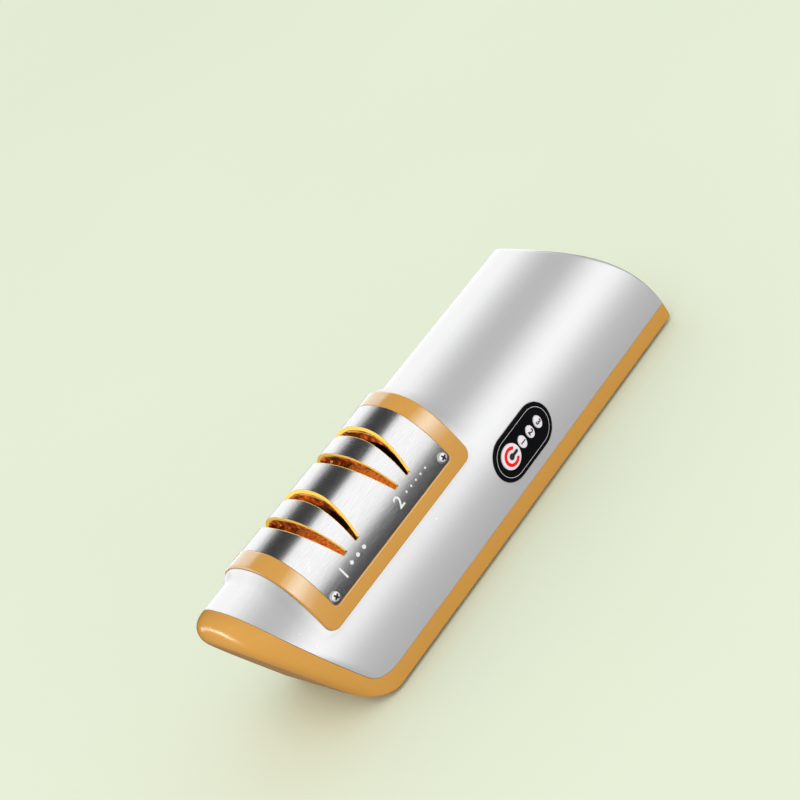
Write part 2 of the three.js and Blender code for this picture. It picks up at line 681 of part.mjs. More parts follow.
function makeShell() {
  const outer = outerForm();
  const cavity = innerForm(WALL, 0);
  const side = toSolid(partingRegion(GAP, 'shell'));
  const collar = toSolid(saddleRing([
    { half: frameHalf + GAP, foot: FRAME_FOOT - GAP, out: -WALL / 2 },
    { half: frameHalf + GAP, foot: FRAME_FOOT - GAP, out: COLLAR_PROUD },
    { half: frameHalf + GAP + COLLAR_RIM, foot: FRAME_FOOT - GAP - COLLAR_RIM, out: COLLAR_PROUD },
    {
      half: frameHalf + GAP + COLLAR_RIM + COLLAR_END_RUN,
      foot: FRAME_FOOT - GAP - COLLAR_RIM - COLLAR_FOOT_RUN,
      out: -WALL / 2,
    },
  ].map((line) => ({ ...line, radius: FRAME_CORNER + line.half - frameHalf }))));
  const posts = bossPlaces.map(({ x, y }) => {
    const sign = Math.sign(y);
    const post = toSolid(cylinderZ(BOSS_RADIUS, BOSS_TOP + GAP, BOSS_POST_TOP, x, y));
    const gusset = toSolid(box(x - RIB_THICKNESS / 2, x + RIB_THICKNESS / 2,
      Math.min(y, sign * WIDTH / 2), Math.max(y, sign * WIDTH / 2), BOSS_TOP + GAP, BOSS_POST_TOP));
    return post.add(gusset).intersect(outer);
  });
  const lipClear = innerForm(WALL + 2 * GAP + LIP_THICKNESS, 0);
  const lipZone = toSolid(partingRegion(LIP_HEIGHT + GAP, 'base'));
  const clearPosts = posts.map((post) => post.subtract(lipZone.subtract(lipClear)));
  const wall = outer.intersect(side).subtract(cavity);
  const pilots = bossPlaces.map(({ x, y }) => toSolid(
    cylinderZ(screwHoleRadius, 0, BOSS_TOP + GAP + SCREW_BITE + GAP, x, y)));
  const window = toSolid(saddleCutter(windowHalf, windowFoot, PLATE_CORNER + GUIDE_FLANGE));
  const panelHole = toSolid(prismZ(pill(PANEL_LENGTH + 2 * GAP, PANEL_WIDTH + 2 * GAP), -CUT, CUT)
    .applyMatrix4(panelPlace));
  const portHole = toSolid(prismX(portShape(GAP), portFace - 2 * WALL, LENGTH));
  const whole = union([wall, collar, ...clearPosts]);
  addMesh(body, 'upper_shell', toGeometry(cutAll(whole, [window, panelHole, portHole, ...pilots])), 'pearl');
}

// Grinding module

function makeFrame() {
  const inner = { half: plateHalf + GAP, foot: PLATE_FOOT - GAP, radius: PLATE_CORNER + GAP };
  const side = { half: frameHalf, foot: FRAME_FOOT, radius: FRAME_CORNER };
  const profile = [{ ...inner, out: GAP }, { ...inner, out: FRAME_PROUD }];
  for (let k = 0; k <= EDGE_STEPS; k += 1) {
    const turn = (k / EDGE_STEPS) * (Math.PI / 2);
    const back = FRAME_ROUND * (1 - Math.sin(turn));
    profile.push({
      half: side.half - back,
      foot: side.foot + back,
      radius: side.radius - back,
      out: FRAME_PROUD - FRAME_ROUND * (1 - Math.cos(turn)),
    });
  }
  profile.push({ ...side, out: GAP });
  addMesh(body, 'module_frame', saddleRing(profile), 'gold');
}

function makePlate() {
  const layer = toSolid(archLayer(plateBottom, plateTop, -LENGTH / 2, LENGTH / 2, RIM_HEIGHT));
  const sheet = layer.intersect(toSolid(saddleCutter(plateHalf, PLATE_FOOT, PLATE_CORNER)));
  const plate = cutAll(sheet, [...slotCutters(SLOT_WIDTH, SLOT_FLOOR), ...panHoles()]);
  addMesh(body, 'steel_plate', toGeometry(plate), 'steel');
}

function makeGuide() {
  const top = plateBottom - GAP;
  const bottom = -GUIDE_FLANGE;
  const block = toSolid(archLayer(bottom, top, -LENGTH / 2, LENGTH / 2, RIM_HEIGHT))
    .intersect(toSolid(saddleCutter(plateHalf, PLATE_FOOT, PLATE_CORNER)));
  const flange = toSolid(archLayer(bottom, 0, -LENGTH / 2, LENGTH / 2, RIM_HEIGHT))
    .intersect(toSolid(saddleCutter(plateHalf + GUIDE_FLANGE, PLATE_FOOT - GUIDE_FLANGE,
      PLATE_CORNER + GUIDE_FLANGE)));
  const floor = SLOT_FLOOR - GUIDE_SLOT_DEEPER;
  const guide = cutAll(block.add(flange), [...slotCutters(GUIDE_SLOT_WIDTH, floor), ...panHoles()]);
  addMesh(body, 'slot_guide', toGeometry(guide), 'liner');
}

function crossRecess(radius, top, depth) {
  const half = (radius * CROSS_SPAN_SHARE) / 2;
  const bar = (along, across) => toSolid(box(-along, along, -across, across, top - depth, top + CUT));
  return bar(half, CROSS_WIDTH / 2).add(bar(CROSS_WIDTH / 2, half));
}

// The pan head's dome from its rim to its middle: shares of its height and radius
const panDomeShares = [[0.55, 1], [0.85, 0.8], [0.97, 0.45], [1, 0]];

function makePlateScrews() {
  panPlaces.forEach((place, i) => {
    const dome = panDomeShares.map(([rise, reach]) => [rise * PAN_HEIGHT, reach * PAN_RADIUS]);
    const length = PLATE_THICKNESS + GAP + plateBottom - GAP + GUIDE_FLANGE;
    const seat = FIT / 2;
    const profile = [
      [-length, 0], [-length, PAN_SHANK_RADIUS], [seat, PAN_SHANK_RADIUS], [seat, PAN_RADIUS],
      ...dome,
    ].map(([height, radius]) => new THREE.Vector2(radius, height));
    const turned = new THREE.LatheGeometry(profile, SMALL_ROUND_STEPS).rotateX(Math.PI / 2);
    const recess = crossRecess(PAN_RADIUS, PAN_HEIGHT, PAN_HEIGHT * CROSS_DEPTH_SHARE);
    const screw = toSolid(outward(turned)).subtract(recess);
    addMesh(body, `plate_screw_${i + 1}`, placeOn(toGeometry(screw), place), 'steel');
  });
}

// Wheels and shaft

const roomAtShaft = -archPoint(archAngle(SHAFT_HEIGHT, -WALL), -WALL)[0];
const wheelRadius = roomAtShaft - CHAMBER_FROM_SHELL - CHAMBER_WALL - CHAMBER_CLEARANCE;
const chamberNear = moduleCentre - CHAMBER_LENGTH / 2;
const chamberFar = moduleCentre + CHAMBER_LENGTH / 2;
const couplingNear = chamberFar + COUPLING_FROM_CHAMBER;
const couplingFar = couplingNear + COUPLING_LENGTH;
const motorFace = couplingFar + MOTOR_SHAFT_STUB + MOTOR_NOSE;

function makeWheels() {
  const half = WHEEL_THICKNESS / 2;
  for (const { name, x, grit } of stages) {
    const bore = SHAFT_RADIUS + FIT;
    addMesh(body, `${name}_wheel_hub`, outward(turnedX([
      [x - half - HUB_PROUD, bore], [x - half - HUB_PROUD, HUB_STEP], [x - half, HUB_STEP],
      [x - half, HUB_RADIUS], [x + half, HUB_RADIUS], [x + half, HUB_STEP],
      [x + half + HUB_PROUD, HUB_STEP], [x + half + HUB_PROUD, bore],
    ])), 'black');
    const inner = HUB_RADIUS + GAP;
    addMesh(body, `${name}_abrasive_ring`, outward(turnedX([
      [x - half, inner], [x - half, wheelRadius - WHEEL_BEVEL], [x - half + WHEEL_BEVEL, wheelRadius],
      [x + half - WHEEL_BEVEL, wheelRadius], [x + half, wheelRadius - WHEEL_BEVEL], [x + half, inner],
    ], WHEEL_STEPS)), grit);
  }
}

function makeShaft() {
  const start = chamberNear - GAP;
  const end = (couplingNear + couplingFar) / 2 - GAP;
  addMesh(body, 'drive_shaft', outward(turnedX([
    [start, 0], [start, SHAFT_RADIUS - RUNNING_FIT], [end, SHAFT_RADIUS - RUNNING_FIT], [end, 0],
  ])), 'steel');
  const hubEnd = WHEEL_THICKNESS / 2 + HUB_PROUD + FIT;
  const walls = CHAMBER_END_WALL + FIT;
  const sleeves = [
    ['near_sleeve', chamberNear + walls + BEARING_LENGTH - CHAMBER_END_WALL, stages[0].x - hubEnd],
    ['middle_sleeve', stages[0].x + hubEnd, stages[1].x - hubEnd],
    ['far_sleeve', stages[1].x + hubEnd, chamberFar - walls - BEARING_LENGTH + CHAMBER_END_WALL],
  ];
  for (const [name, x0, x1] of sleeves) {
    addMesh(body, name, outward(turnedX([
      [x0, SHAFT_RADIUS + FIT], [x0, SLEEVE_RADIUS], [x1, SLEEVE_RADIUS], [x1, SHAFT_RADIUS + FIT],
    ])), 'steel');
  }
  const bearings = [
    ['near_bearing', chamberNear, chamberNear + BEARING_LENGTH],
    ['far_bearing', chamberFar - BEARING_LENGTH, chamberFar],
  ];
  for (const [name, x0, x1] of bearings) {
    addMesh(body, name, outward(turnedX([
      [x0, SHAFT_RADIUS + FIT / 3], [x0, BEARING_RADIUS], [x1, BEARING_RADIUS],
      [x1, SHAFT_RADIUS + FIT / 3],
    ])), 'bronze');
  }
}

// The tub: a round-bottomed trough between two end walls that stand on the base's floor
function makeChamber() {
  const reach = wheelRadius + CHAMBER_CLEARANCE;
  const trough = (radius) => {
    const shape = new THREE.Shape();
    shape.moveTo(-radius, SHAFT_HEIGHT);
    shape.absarc(0, SHAFT_HEIGHT, radius, Math.PI, 2 * Math.PI, false);
    shape.closePath();
    return shape;
  };
  const tub = (radius, x0, x1) => toSolid(prismX(trough(radius), x0, x1, ROUND_STEPS));
  const end = (x0, x1) => {
    const foot = FLOOR + GAP;
    const outer = reach + CHAMBER_WALL;
    const lower = toSolid(box(x0, x1, -CHAMBER_FOOT_WIDTH / 2, CHAMBER_FOOT_WIDTH / 2, foot, SHAFT_HEIGHT));
    const tower = toSolid(prismX(roundedBox(-CHAMBER_TOWER_WIDTH / 2, CHAMBER_TOWER_WIDTH / 2,
      SHAFT_HEIGHT - CHAMBER_TOWER_RISE, SHAFT_HEIGHT + CHAMBER_TOWER_RISE, CHAMBER_TOWER_WIDTH / 4),
    x0, x1));
    return union([lower, tower, tub(outer, x0, x1)]);
  };
  const inside = tub(reach, chamberNear + CHAMBER_END_WALL, chamberFar - CHAMBER_END_WALL);
  const skin = tub(reach + CHAMBER_WALL, chamberNear, chamberFar);
  const bore = toSolid(outward(turnedX([
    [chamberNear - CUT, 0], [chamberNear - CUT, BEARING_RADIUS + FIT],
    [chamberFar + CUT, BEARING_RADIUS + FIT], [chamberFar + CUT, 0],
  ])));
  const walls = [
    end(chamberNear, chamberNear + CHAMBER_END_WALL),
    end(chamberFar - CHAMBER_END_WALL, chamberFar),
  ];
  const whole = union([skin, ...walls]).subtract(inside).subtract(bore);
  addMesh(body, 'wheel_chamber', toGeometry(whole), 'black');
}

// Drive

function makeDrive() {
  const middle = (couplingNear + couplingFar) / 2;
  addMesh(body, 'shaft_coupling', outward(turnedX([
    [couplingNear, SHAFT_RADIUS + FIT], [couplingNear, COUPLING_RADIUS], [couplingFar, COUPLING_RADIUS],
    [couplingFar, MOTOR_SHAFT_RADIUS + FIT], [middle, MOTOR_SHAFT_RADIUS + FIT],
    [middle, SHAFT_RADIUS + FIT],
  ])), 'bronze');
  const tip = middle + GAP;
  const root = motorFace + MOTOR_SHAFT_DEPTH;
  addMesh(body, 'motor_shaft', outward(turnedX([
    [tip, 0], [tip, MOTOR_SHAFT_RADIUS], [root, MOTOR_SHAFT_RADIUS], [root, 0],
  ])), 'steel');
  const hole = MOTOR_SHAFT_RADIUS + FIT;
  const back = motorFace + MOTOR_LENGTH;
  addMesh(body, 'motor_can', outward(turnedX([
    [motorFace - MOTOR_NOSE, hole], [motorFace - MOTOR_NOSE, MOTOR_NOSE_RADIUS],
    [motorFace, MOTOR_NOSE_RADIUS], [motorFace, MOTOR_RADIUS - MOTOR_ROUND],
    [motorFace + MOTOR_ROUND, MOTOR_RADIUS], [back, MOTOR_RADIUS], [back, 0],
    [root + GAP, 0], [root + GAP, hole],
  ])), 'steel');
  const capEnd = back + GAP + MOTOR_CAP_LENGTH;
  addMesh(body, 'motor_end_cap', outward(turnedX([
    [back + GAP, 0], [back + GAP, MOTOR_RADIUS], [capEnd - MOTOR_ROUND, MOTOR_RADIUS],
    [capEnd, MOTOR_RADIUS - MOTOR_ROUND], [capEnd, 0],
  ])), 'black');
}

// Battery, and the cradle that stands on the floor and holds both round bodies

function makePower() {
  const cradleBottom = FLOOR + GAP;
  const cellHeight = cradleBottom + CRADLE_FLOOR + CELL_RADIUS + GAP;
  const cellEnd = chargeBoardFar() - CHARGE_BOARD_LENGTH - CELL_FROM_CHARGE_BOARD;
  const cellStart = cellEnd - CELL_LENGTH;
  addMesh(body, 'battery_cell', outward(turnedX([
    [cellStart, 0], [cellStart, CELL_RADIUS], [cellEnd - CELL_BUTTON, CELL_RADIUS],
    [cellEnd - CELL_BUTTON, CELL_BUTTON_RADIUS], [cellEnd, CELL_BUTTON_RADIUS], [cellEnd, 0],
  ], ROUND_STEPS, cellHeight)), 'cell');
  const start = motorFace + CRADLE_SPARE;
  const end = cellEnd - CRADLE_SPARE;
  const wall = (x, top) => toSolid(box(x, x + CRADLE_WALL, -CRADLE_WIDTH / 2, CRADLE_WIDTH / 2,
    cradleBottom, top));
  const motorWalls = [start, motorFace + MOTOR_LENGTH - CRADLE_SPARE - CRADLE_WALL];
  const plate = toSolid(box(start, end, -CRADLE_WIDTH / 2, CRADLE_WIDTH / 2, cradleBottom,
    cradleBottom + CRADLE_FLOOR));
  const whole = union([plate, ...motorWalls.map((x) => wall(x, SHAFT_HEIGHT)),
    wall(end - CRADLE_WALL, cellHeight)]);
  const bore = (radius, height) => toSolid(outward(turnedX([
    [-LENGTH, 0], [-LENGTH, radius], [LENGTH, radius], [LENGTH, 0],
  ], ROUND_STEPS, height)));
  // The cradle stays clear of the control board, which stands in front of it
  const boardRoom = toSolid(box(-LENGTH, LENGTH, -BOARD_WIDTH / 2 - CRADLE_FROM_BOARD, LENGTH,
    boardTop - BOARD_THICKNESS - CRADLE_FROM_BOARD, WIDTH).applyMatrix4(panelPlace));
  const cradle = whole.subtract(bore(MOTOR_RADIUS + GAP, SHAFT_HEIGHT))
    .subtract(bore(CELL_RADIUS + FIT, cellHeight)).subtract(boardRoom);
  addMesh(body, 'power_cradle', toGeometry(cradle), 'black');
}

// Control panel

function makePanel() {
  const front = PANEL_PROUD;
  const flangeTop = panelFlangeTop;
  const plate = toSolid(prismZ(pill(PANEL_LENGTH, PANEL_WIDTH), panelBack, front));
  const flange = toSolid(prismZ(pill(PANEL_LENGTH + 2 * PANEL_FLANGE, PANEL_WIDTH + 2 * PANEL_FLANGE),
    panelBack, flangeTop));
  const posts = [-1, 1].map((sign) => toSolid(cylinderZ(POST_RADIUS, boardTop + GAP, flangeTop,
    sign * PANEL_LENGTH * (1 / 2 - POST_FROM_END_SHARE), 0)));
  const holes = keys.map(({ x, length, width }) => toSolid(
    prismZ(oval(length + 2 * FIT, width + 2 * FIT, x), panelBack - CUT, front + CUT)));
  const bezel = cutAll(union([plate, flange]), holes);
  const whole = union([bezel, ...posts]);
  addMesh(body, 'panel_bezel', toGeometry(whole).applyMatrix4(panelPlace), 'black');
  for (const { name, x, length, width } of keys) {
    const top = front + BUTTON_PROUD;
    const cap = toSolid(prismZ(oval(length, width, x), buttonBack, top - BUTTON_ROUND));
    const crown = toSolid(prismZ(oval(length - BUTTON_ROUND, width - BUTTON_ROUND, x), buttonBack, top));
    const rim = toSolid(prismZ(oval(length + 2 * BUTTON_FLANGE, width + 2 * BUTTON_FLANGE, x), buttonBack,
      buttonFlangeTop));
    addMesh(body, name, toGeometry(union([cap, crown, rim])).applyMatrix4(panelPlace), 'button');
  }
  keys.forEach(({ x }, i) => {
    const bodyTop = plungerTop - SWITCH_PLUNGER;
    const half = switchSize / 2;
    const can = toSolid(box(x - half, x + half, -half, half, bodyTop - SWITCH_BODY, bodyTop));
    const plunger = toSolid(cylinderZ(SWITCH_PLUNGER_RADIUS, bodyTop - SWITCH_BODY, plungerTop, x, 0));
    addMesh(body, `tact_switch_${i + 1}`, toGeometry(can.add(plunger)).applyMatrix4(panelPlace), 'steel');
  });
  addMesh(body, 'control_board', box(-PANEL_LENGTH / 2, PANEL_LENGTH / 2, -BOARD_WIDTH / 2,
    BOARD_WIDTH / 2, boardTop - BOARD_THICKNESS, boardTop).applyMatrix4(panelPlace), 'board');
}

// Charging inlet

function portShape(extra) {
  const half = PORT_WIDTH / 2 + extra;
  const rise = PORT_THICKNESS / 2 + extra;
  return roundedBox(-half, half, PORT_HEIGHT - rise, PORT_HEIGHT + rise, rise - PORT_WALL);
}

function chargeBoardBottom() {
  return PORT_HEIGHT - PORT_THICKNESS / 2 - GAP - BOARD_THICKNESS;
}

function chargeBoardFar() {
  return farEnd(chargeBoardBottom()) - 2 * (WALL + GAP + LIP_THICKNESS);
}

function makeChargePort() {
  const tube = toSolid(prismX(portShape(0), portFace - PORT_DEPTH, portFace));
  const inside = toSolid(prismX(portShape(-PORT_WALL), portFace - PORT_DEPTH + PORT_WALL, portFace + CUT));
  const tongue = toSolid(box(portFace - PORT_DEPTH, portFace - PORT_WALL, -PORT_TONGUE_WIDTH / 2,
    PORT_TONGUE_WIDTH / 2, PORT_HEIGHT - PORT_TONGUE / 2, PORT_HEIGHT + PORT_TONGUE / 2));
  addMesh(body, 'charge_port', toGeometry(tube.subtract(inside).add(tongue)), 'steel');
  const bottom = chargeBoardBottom();
  const far = chargeBoardFar();
  const half = bossFromAxis - BOSS_RADIUS - CHARGE_BOARD_FROM_BOSS;
  addMesh(body, 'charge_board', box(far - CHARGE_BOARD_LENGTH, far, -half, half,
    bottom, bottom + BOARD_THICKNESS), 'board');
}

// Feet and base screws

function makeFeet() {
  footPlaces.forEach(({ x, y }, i) => {
    const profile = [
      [0, -FOOT_PROUD], [FOOT_RADIUS - FOOT_ROUND, -FOOT_PROUD], [FOOT_RADIUS, -FOOT_PROUD + FOOT_ROUND],
      [FOOT_RADIUS, FOOT_RECESS - GAP], [0, FOOT_RECESS - GAP],
    ].map(([radius, z]) => new THREE.Vector2(radius, z));
    const foot = new THREE.LatheGeometry(profile, ROUND_STEPS).rotateX(Math.PI / 2);
    addMesh(body, `rubber_foot_${i + 1}`, outward(foot).translate(x, y, 0), 'rubber');
  });
}

function makeBaseScrews() {
  bossPlaces.forEach(({ x, y }, i) => {
    const headTop = SCREW_SINK + SCREW_HEAD;
    const head = toSolid(cylinderZ(SCREW_HEAD_RADIUS, SCREW_SINK, headTop, 0, 0));
    const shank = toSolid(cylinderZ(SCREW_RADIUS, SCREW_SINK, BOSS_TOP + SCREW_BITE, 0, 0));
    const recess = crossRecess(SCREW_HEAD_RADIUS, SCREW_HEAD, SCREW_HEAD * CROSS_DEPTH_SHARE);
    const cut = recess.rotate([180, 0, 0]).translate([0, 0, headTop]);
    const screw = head.add(shank).subtract(cut);
    addMesh(body, `base_screw_${i + 1}`, toGeometry(screw).translate(x, y, 0), 'steel');
  });
}

makeBase();
makeShell();
makeFrame();
makePlate();
makeGuide();
makePlateScrews();
makeWheels();
makeShaft();
makeChamber();
makeDrive();
makePower();
makePanel();
makeChargePort();
makeFeet();
makeBaseScrews();

// The origin is under the middle of the whole part
part.updateMatrixWorld(true);
const extent = new THREE.Box3().setFromObject(part);
body.position.x = -(extent.min.x + extent.max.x) / 2;

export default part;
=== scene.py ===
"""Looks of the electric knife sharpener: fine meshes, materials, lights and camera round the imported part.

Shapes are drawn in millimetres in the body's own frame (X along the body, Z up from the base's
underside), then moved into the row frame in metres.
"""

import json
import math

import bmesh
import bpy
from mathutils import Matrix, Vector

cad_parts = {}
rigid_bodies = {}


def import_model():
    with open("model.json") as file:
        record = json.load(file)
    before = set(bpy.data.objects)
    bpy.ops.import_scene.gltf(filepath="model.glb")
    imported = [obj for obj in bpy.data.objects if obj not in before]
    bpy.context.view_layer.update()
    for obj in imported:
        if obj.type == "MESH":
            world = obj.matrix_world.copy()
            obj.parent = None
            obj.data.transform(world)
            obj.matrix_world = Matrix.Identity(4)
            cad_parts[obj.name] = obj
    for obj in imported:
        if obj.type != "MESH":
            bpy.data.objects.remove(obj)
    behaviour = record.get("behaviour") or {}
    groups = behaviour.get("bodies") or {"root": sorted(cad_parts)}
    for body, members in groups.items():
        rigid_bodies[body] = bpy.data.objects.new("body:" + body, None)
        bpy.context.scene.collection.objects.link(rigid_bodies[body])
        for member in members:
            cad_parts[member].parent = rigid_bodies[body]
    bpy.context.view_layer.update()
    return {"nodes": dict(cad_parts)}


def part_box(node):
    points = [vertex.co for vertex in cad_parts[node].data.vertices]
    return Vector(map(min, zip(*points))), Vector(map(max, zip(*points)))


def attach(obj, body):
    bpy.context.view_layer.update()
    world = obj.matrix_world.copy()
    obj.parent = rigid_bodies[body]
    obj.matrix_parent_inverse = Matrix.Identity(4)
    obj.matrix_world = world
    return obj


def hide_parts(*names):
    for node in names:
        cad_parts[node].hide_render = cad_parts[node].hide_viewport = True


MM = 0.001

# Body, as in the part
LENGTH = 221.0
WIDTH = 50.0
HEIGHT = 60.5
ARCH_POWER = 2.4
WALL = 2.0
FLOOR = 2.4
GAP = 0.3
CUT = 6.0
NEAR_RAKE_SHARE = 0.46
NEAR_SET_BACK = 0.96
NEAR_EDGE = 9.0
FAR_SET_BACK = 0.42
FAR_DROP = 32.3
FAR_EDGE = 1.2
FOOT_EDGE = 0.9
SEAM = 0.07
PANEL_HOLE_SPARE_SHARES = (0.004, 0.008)

# Parting line between the gold base and the shell
RIM_HEIGHT = 7.4
CORNER_RISE = 6.4
CORNER_RUN = 14.5
CAP_FOOT_WIDTH = 7.4
CAP_WAIST_WIDTH = 7.4
CAP_CROWN_WIDTH = 11.4
WAIST_HEIGHT_SHARE = 0.68
LIP_HEIGHT = 2.4
LIP_THICKNESS = 1.0

# Grinding module
MODULE_CENTRE = -40.4
FRAME_LENGTH = 82.5
FRAME_FOOT = 35.9
FRAME_CORNER = 4.0
FRAME_PROUD = 2.8
FRAME_ROUND = 0.9
FRAME_INNER_ROUND = 0.3
FRAME_SINK = 0.2
PLATE_LENGTH = 67.8
PLATE_FOOT = 41.3
PLATE_CORNER = 1.6
PLATE_THICKNESS = 0.8
PLATE_SET_BACK = 0.2
PLATE_TOP = FRAME_PROUD - PLATE_SET_BACK
PLATE_BOTTOM = PLATE_TOP - PLATE_THICKNESS
COLLAR_PROUD = 1.9
COLLAR_RIM = 1.2
COLLAR_END_RUN = 2.9
COLLAR_FOOT_RUN = 1.4
COLLAR_ROUND = 0.5
COLLAR_SINK = 0.02
COLLAR_BLEND = 0.96
GUIDE_FLANGE = 1.5
GUIDE_SKIRT_OUT = 1.4
GUIDE_CROWN_DROP = 0.8
CORE_SKIRT_OUT = 1.3
CORE_CROWN_DROP = 2.4
GUIDE_DROP_POWER = 6
CORE_DROP_POWER = 16
STAGE_SPACING = 29.9
SLOT_WEB = 4.6
SLOT_WIDTH = 2.3
SLOT_FLOOR = 49.2
SLOT_SPLAY_SHARE = 0.135
SLOT_FLARE_SHARE = 0.175
SLOT_CORNER = 0.5
LINER_WALL = 0.16
LINER_BELOW_PLATE = 0.08

# Wheels
SHAFT_HEIGHT = 34.4
WHEEL_RADIUS = 17.02
WHEEL_THICKNESS = 6.4
WHEEL_BEVEL = 0.6
WHEEL_BORE = 8.3

# Control panel
PANEL_CENTRE = 21.6
PANEL_HEIGHT = 20.95
PANEL_LENGTH = 32.7
PANEL_WIDTH = 17.6
BUTTON_RISE = 0.5
PANEL_PROUD = 0.3
PANEL_DEPTH = 4.6
PANEL_EDGE = 0.35
INLAY_INSET = 1.6
INLAY_WIDTH = 0.15
POWER_PLACE = -7.7
POWER_SIZE = 9.5
KEY_FIRST = -0.3
KEY_PITCH = 5.0
KEY_LENGTH = 3.7
KEY_WIDTH = 5.1
BUTTON_TOP = 0.56
BUTTON_EDGE = 0.35
BUTTON_CROWN = 0.12
BUTTON_DEPTH = 2.0
PRINT_THICKNESS = 0.015
PRINT_SINK = 0.1
KEY_FIGURE_SIZE = 3.3
KEY_FIGURE_BOLD = 0.11
POWER_RING_SHARE = 0.315
POWER_RING_WIDTH_SHARE = 0.13
POWER_RING_OPENING = 38
POWER_BLOB_SHARE = 0.26
POWER_BAR_SHARES = (-0.02, 0.38, -0.065, 0.065)
POWER_BAR_ROUND_SHARE = 0.06

# Figures and dots on the sheet
PLATE_FIGURE_SIZE = 6.2
PLATE_FIGURE_BOLD = 0.08
PLATE_FIGURE_HEIGHT = 46.2
PLATE_FIGURE_LIFT = 0.012
DOTS_FROM_FIGURE = 4.6
DOT_BETWEEN = 2.0

# Feet, screws and the charging inlet
FOOT_RADIUS = 5.0
FOOT_PROUD = 1.2
FOOT_RECESS = 0.6
FOOT_ROUND = 0.4
SCREW_SINK_RADIUS = 2.75
SCREW_SINK = 3.4
PAN_RADIUS = 1.9
PAN_HEIGHT = 0.9
PAN_FROM_EDGE = 2.3
PAN_SHANK_RADIUS = 0.8
PAN_SHANK = 1.2
PAN_RIM_SHARE = 0.5
PAN_TURN_FIRST = 25
PAN_TURN_STEP = 40
CROSS_REACH_SHARE = 0.72
CROSS_WIDTH = 0.68
CROSS_DEPTH_SHARE = 1.4
CROSS_SHADE_SHARE = 0.55
PORT_HEIGHT = 14.5
PORT_WIDTH = 9.0
PORT_THICKNESS = 3.3

# Steps round the curves
ARCH_STEPS = 180
INNER_ARCH_STEPS = 48
EDGE_STEPS = 10
INNER_EDGE_STEPS = 6
END_RINGS = 14
INNER_END_RINGS = 3
CORNER_STEPS = 14
PARTING_STEPS = 40
TURN_STEPS = 96
OVAL_STEPS = 72
DOT_STEPS = 24
DOME_STEPS = 8
SLOT_CORNER_STEPS = 4
FIGURE_CUTS = 24
FIGURE_TURN = 0.002

# How near a corner lies to the arch, and a face to its slope, to take the arch's exact normal
ON_ARCH = 0.0006
ALONG_ARCH = 0.995

# Where the photograph was taken from: place in the body's frame, and the view's axes
CAMERA_PLACE = (-297.110, -469.502, 408.334)
CAMERA_RIGHT = (0.55597, -0.69627, -0.45399)
CAMERA_UP = (0.69510, 0.08996, 0.71327)
CAMERA_BACK = (-0.45579, -0.71212, 0.53399)
CAMERA_LENS = 86.07

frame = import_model()
plate_low, plate_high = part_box("steel_plate")
SHIFT = ((plate_low[0] + plate_high[0]) / 2 / MM - MODULE_CENTRE, 0.0, FOOT_PROUD)


# The arch and the body's form


def arch_angle(z, out):
    return math.asin(min(1.0, z / (HEIGHT + out)) ** (ARCH_POWER / 2))


def arch_point(angle, out):
    c, s = math.cos(angle), math.sin(angle)
    y = -(WIDTH / 2 + out) * math.copysign(abs(c) ** (2 / ARCH_POWER), c)
    return y, (HEIGHT + out) * abs(s) ** (2 / ARCH_POWER)


def arch_normal(y, z, out):
    ny = math.copysign((abs(y) / (WIDTH / 2 + out)) ** (ARCH_POWER - 1) / (WIDTH / 2 + out), y)
    nz = (max(z, 0) / (HEIGHT + out)) ** (ARCH_POWER - 1) / (HEIGHT + out)
    return Vector((0, ny, nz)).normalized()


def arch_height(y, z, out):
    """1 on the arch at that offset, less inside it."""
    half, height = WIDTH / 2 + out, HEIGHT + out
    return (abs(y) / half) ** ARCH_POWER + (max(z, 0) / height) ** ARCH_POWER


def quarter(steps):
    """(1 - cos, 1 - sin) from 0 to 90 degrees: how far a rounded edge draws back on its two sides."""
    turns = [k / steps * math.pi / 2 for k in range(steps + 1)]
    return [(1 - math.cos(t), 1 - math.sin(t)) for t in turns]


def arch_curve(out, low, steps):
    start = arch_angle(max(low, 0), out)
    return [arch_point(start + i / steps * (math.pi - 2 * start), out) for i in range(steps + 1)]


def near_end(z):
    return NEAR_FOOT - NEAR_RAKE_SHARE * z


def far_end(z):
    share = z / HEIGHT
    return LENGTH / 2 - FAR_SET_BACK - FAR_DROP * share * share


NEAR_SLOPE = math.hypot(1, NEAR_RAKE_SHARE)
NEAR_FOOT = -LENGTH / 2 + NEAR_SET_BACK + NEAR_RAKE_SHARE * HEIGHT


def section(extra, inset, floor, steps, foot_edge):
    """The arched cross section, with its two lower edges rounded."""
    half = WIDTH / 2 - inset - extra
    low = floor + extra
    side = []
    if foot_edge:
        side = [(-half + foot_edge * v, low + foot_edge * u) for u, v in quarter(EDGE_STEPS)[:-1]]
    back = [(-y, z) for y, z in reversed(side)]
    return side + arch_curve(-inset - extra, low + foot_edge, steps) + back


def body_form(name, inset, floor, near_edge, far_edge, steps, edge_steps, rings_in_end, foot_edge):
    middle = HEIGHT / 2

    def ring(extra, shrink, x_at):
        points = []
        for y, z in section(extra, inset, floor, steps, foot_edge):
            zz = middle + (z - middle) * shrink
            points.append((x_at(zz), y * shrink, zz))
        return points

    def near(depth):
        return lambda z: near_end(z) + (depth + inset) * NEAR_SLOPE

    def far(depth):
        return lambda z: far_end(z) - (depth + inset) * NEAR_SLOPE

    edge = quarter(edge_steps)
    inward = [1 - k / rings_in_end for k in range(rings_in_end - 1, 0, -1)]
    rings = [ring(near_edge, share, near(0)) for share in inward]
    rings += [ring(near_edge * v, 1, near(near_edge * u)) for u, v in edge]
    rings += [ring(far_edge * v, 1, far(far_edge * u)) for u, v in reversed(edge)]
    rings += [ring(far_edge, share, far(0)) for share in reversed(inward)]
    return skin(name, rings, capped=True)


